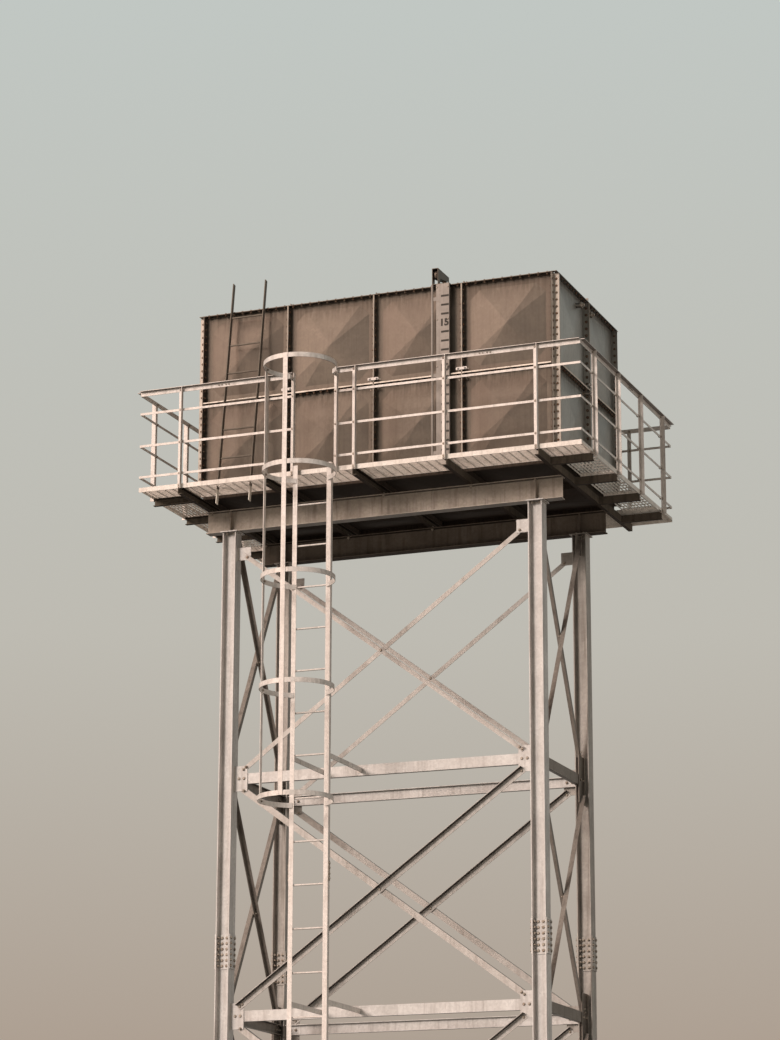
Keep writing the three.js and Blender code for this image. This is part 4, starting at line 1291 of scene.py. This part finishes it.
def haspForms():
    d, x = hasp, manhole["x"]
    y, top = manhole["y"] - manhole["half"], manhole["lidTop"]
    return [
        plateForm(d["tongue"], at(x, y - d["out"], top + d["up"]), (-1, 0, 0), (0, 0, -1),
                  -d["thickness"]),
        plateForm(rectangle(d["half"], 0, d["lap"]), at(x, y - d["back"], top), (1, 0, 0),
                  (0, 1, 0), d["thickness"]),
        roundBar([at(x + a, y + b - d["stapleOut"], top - d["stapleDrop"])
                  for a, b in d["staple"]], d["stapleRadius"], 8)]


# Bolts through the standing seams of the roof, but for those that the lid covers
seamFixings = {"perPanel": 4, "inset": 0.03, "grip": 0.010, "level": 12.578, "clearOfLid": 0.03}


def seamBolts():
    s = seamFixings
    reach = manhole["half"] + s["clearOfLid"]

    def byLid(spot):
        return abs(spot.x - manhole["x"]) < reach and abs(spot.y - midY - manhole["y"]) < reach

    def row(start, end, along):
        return boltRow(at(*start, s["level"]), at(*end, s["level"]), along, s["grip"],
                       s["perPanel"], "m8", byLid)

    forms = []
    for x in (-1, 0, 1):
        for y in (-1, 0):
            forms += row((x, y + s["inset"]), (x, y + 1 - s["inset"]), (1, 0, 0))
    for x in range(-2, 2):
        forms += row((x + s["inset"], 0), (x + 1 - s["inset"], 0), (0, 1, 0))
    return forms


manholeForms = handleForms()
for side in (-1, 1):
    manholeForms += hingeForms(manhole["x"] + side * hinge["at"])
makePiece("manhole_fittings", manholeForms + haspForms(), "zinc-plated bolts")
makePiece("roof_seam_bolts", seamBolts(), "zinc-plated bolts")

# Right wall: screwed plugs in the two pipe sockets, and a bolt through the lug
socketFixings = {
    "places": (-0.260, 0.085), "level": 12.431, "wall": 2.0, "end": 2.080, "collarAt": 2.056,
    "collar": [(0.029, 0), (0.034, 0.002), (0.034, 0.020), (0.029, 0.023)],
    "plug": [(0.0245, -0.001), (0.0245, 0.006), (0.022, 0.008)],
    "square": [(0.0165, 0.007), (0.0165, 0.019), (0.0145, 0.022)],
    "weld": [(0.036, -0.001), (0.032, 0.005), (0.027, 0.008)],
    "lugBolt": (2.040, 0, 12.575), "lugGrip": 0.012,
}


def socketForms():
    s = socketFixings
    forms = []
    for y in s["places"]:
        for part, x, sides in (("collar", s["collarAt"], 20), ("plug", s["end"], 20),
                               ("square", s["end"], 6), ("weld", s["wall"], 20)):
            forms.append(placed(turnedForm(s[part], sides),
                                facing(at(x, y, s["level"]), (1, 0, 0))))
    return forms + boltThrough(at(*s["lugBolt"]), (0, -1, 0), s["lugGrip"], "m12")


makePiece("socket_fittings", socketForms(), "zinc-plated bolts")
print("roof and socket fittings")

# Gauge board: a tick every decimetre, a number every fifth one, in black enamel
gaugeMarks = {
    "x": 0.800, "right": 0.0700, "left": 0.0180, "thickness": 0.0006, "face": -1.1013,
    "tick": 0.022, "slant": 0.003, "wobble": 0.001, "zero": 10.620, "pitch": 0.1, "ticks": 18,
    "numberEvery": 5, "numberHeight": 0.105, "numberMiddle": 0.018, "numberBold": 0.0050,
    "numberGap": 0.0001, "bolts": (10.60, 11.12, 11.64, 12.16, 12.52), "boltAcross": 0.062,
}


def gaugeTicks():
    g = gaugeMarks
    w, h, slant = (g["right"] + g["left"]) / 2, g["tick"] / 2, g["slant"]
    middle = g["x"] + (g["right"] - g["left"]) / 2
    forms = []
    for i in range(1, g["ticks"] + 1):
        if i % g["numberEvery"]:
            wobble = dice.uniform(-g["wobble"], g["wobble"])
            outline = [(-w, -h + wobble), (-w + slant, -h), (w, -h), (w, h), (-w + slant, h),
                       (-w, h - wobble)]
            forms.append(plateForm(outline, at(middle, g["face"], g["zero"] + i * g["pitch"]),
                                   (1, 0, 0), up, g["thickness"]))
    return forms


def gaugeNumber(value):
    g = gaugeMarks
    text = bpy.data.curves.new("number", "FONT")
    text.body = str(value)
    text.size = g["numberHeight"]
    text.align_x = text.align_y = "CENTER"
    text.extrude = g["thickness"] / 2
    text.offset = g["numberBold"]
    holder = bpy.data.objects.new("number", text)
    scene.collection.objects.link(holder)
    bpy.context.view_layer.update()
    mesh = bpy.data.meshes.new_from_object(holder)
    bpy.data.objects.remove(holder)
    place = at(g["x"] + g["numberMiddle"], g["face"] - g["thickness"] / 2 - g["numberGap"],
               g["zero"] + value * g["pitch"])
    mesh.transform(Matrix.Translation(place) @ Matrix.Rotation(math.pi / 2, 4, "X"))
    dressPiece(f"gauge_number_{value}", mesh, "black enamel, gauge marks")


def gaugeBolts():
    g = gaugeMarks
    forms = []
    for z in g["bolts"]:
        for x in (-g["boltAcross"], g["boltAcross"]):
            forms += boltEnd(at(g["x"] + x, g["face"], z), (0, -1, 0), "m8", "head")
    return forms


makePiece("gauge_ticks", gaugeTicks(), "black enamel, gauge marks")
for value in range(gaugeMarks["numberEvery"], gaugeMarks["ticks"] + 1, gaugeMarks["numberEvery"]):
    gaugeNumber(value)
makePiece("gauge_bolts", gaugeBolts(), "zinc-plated bolts")
print("gauge marks")
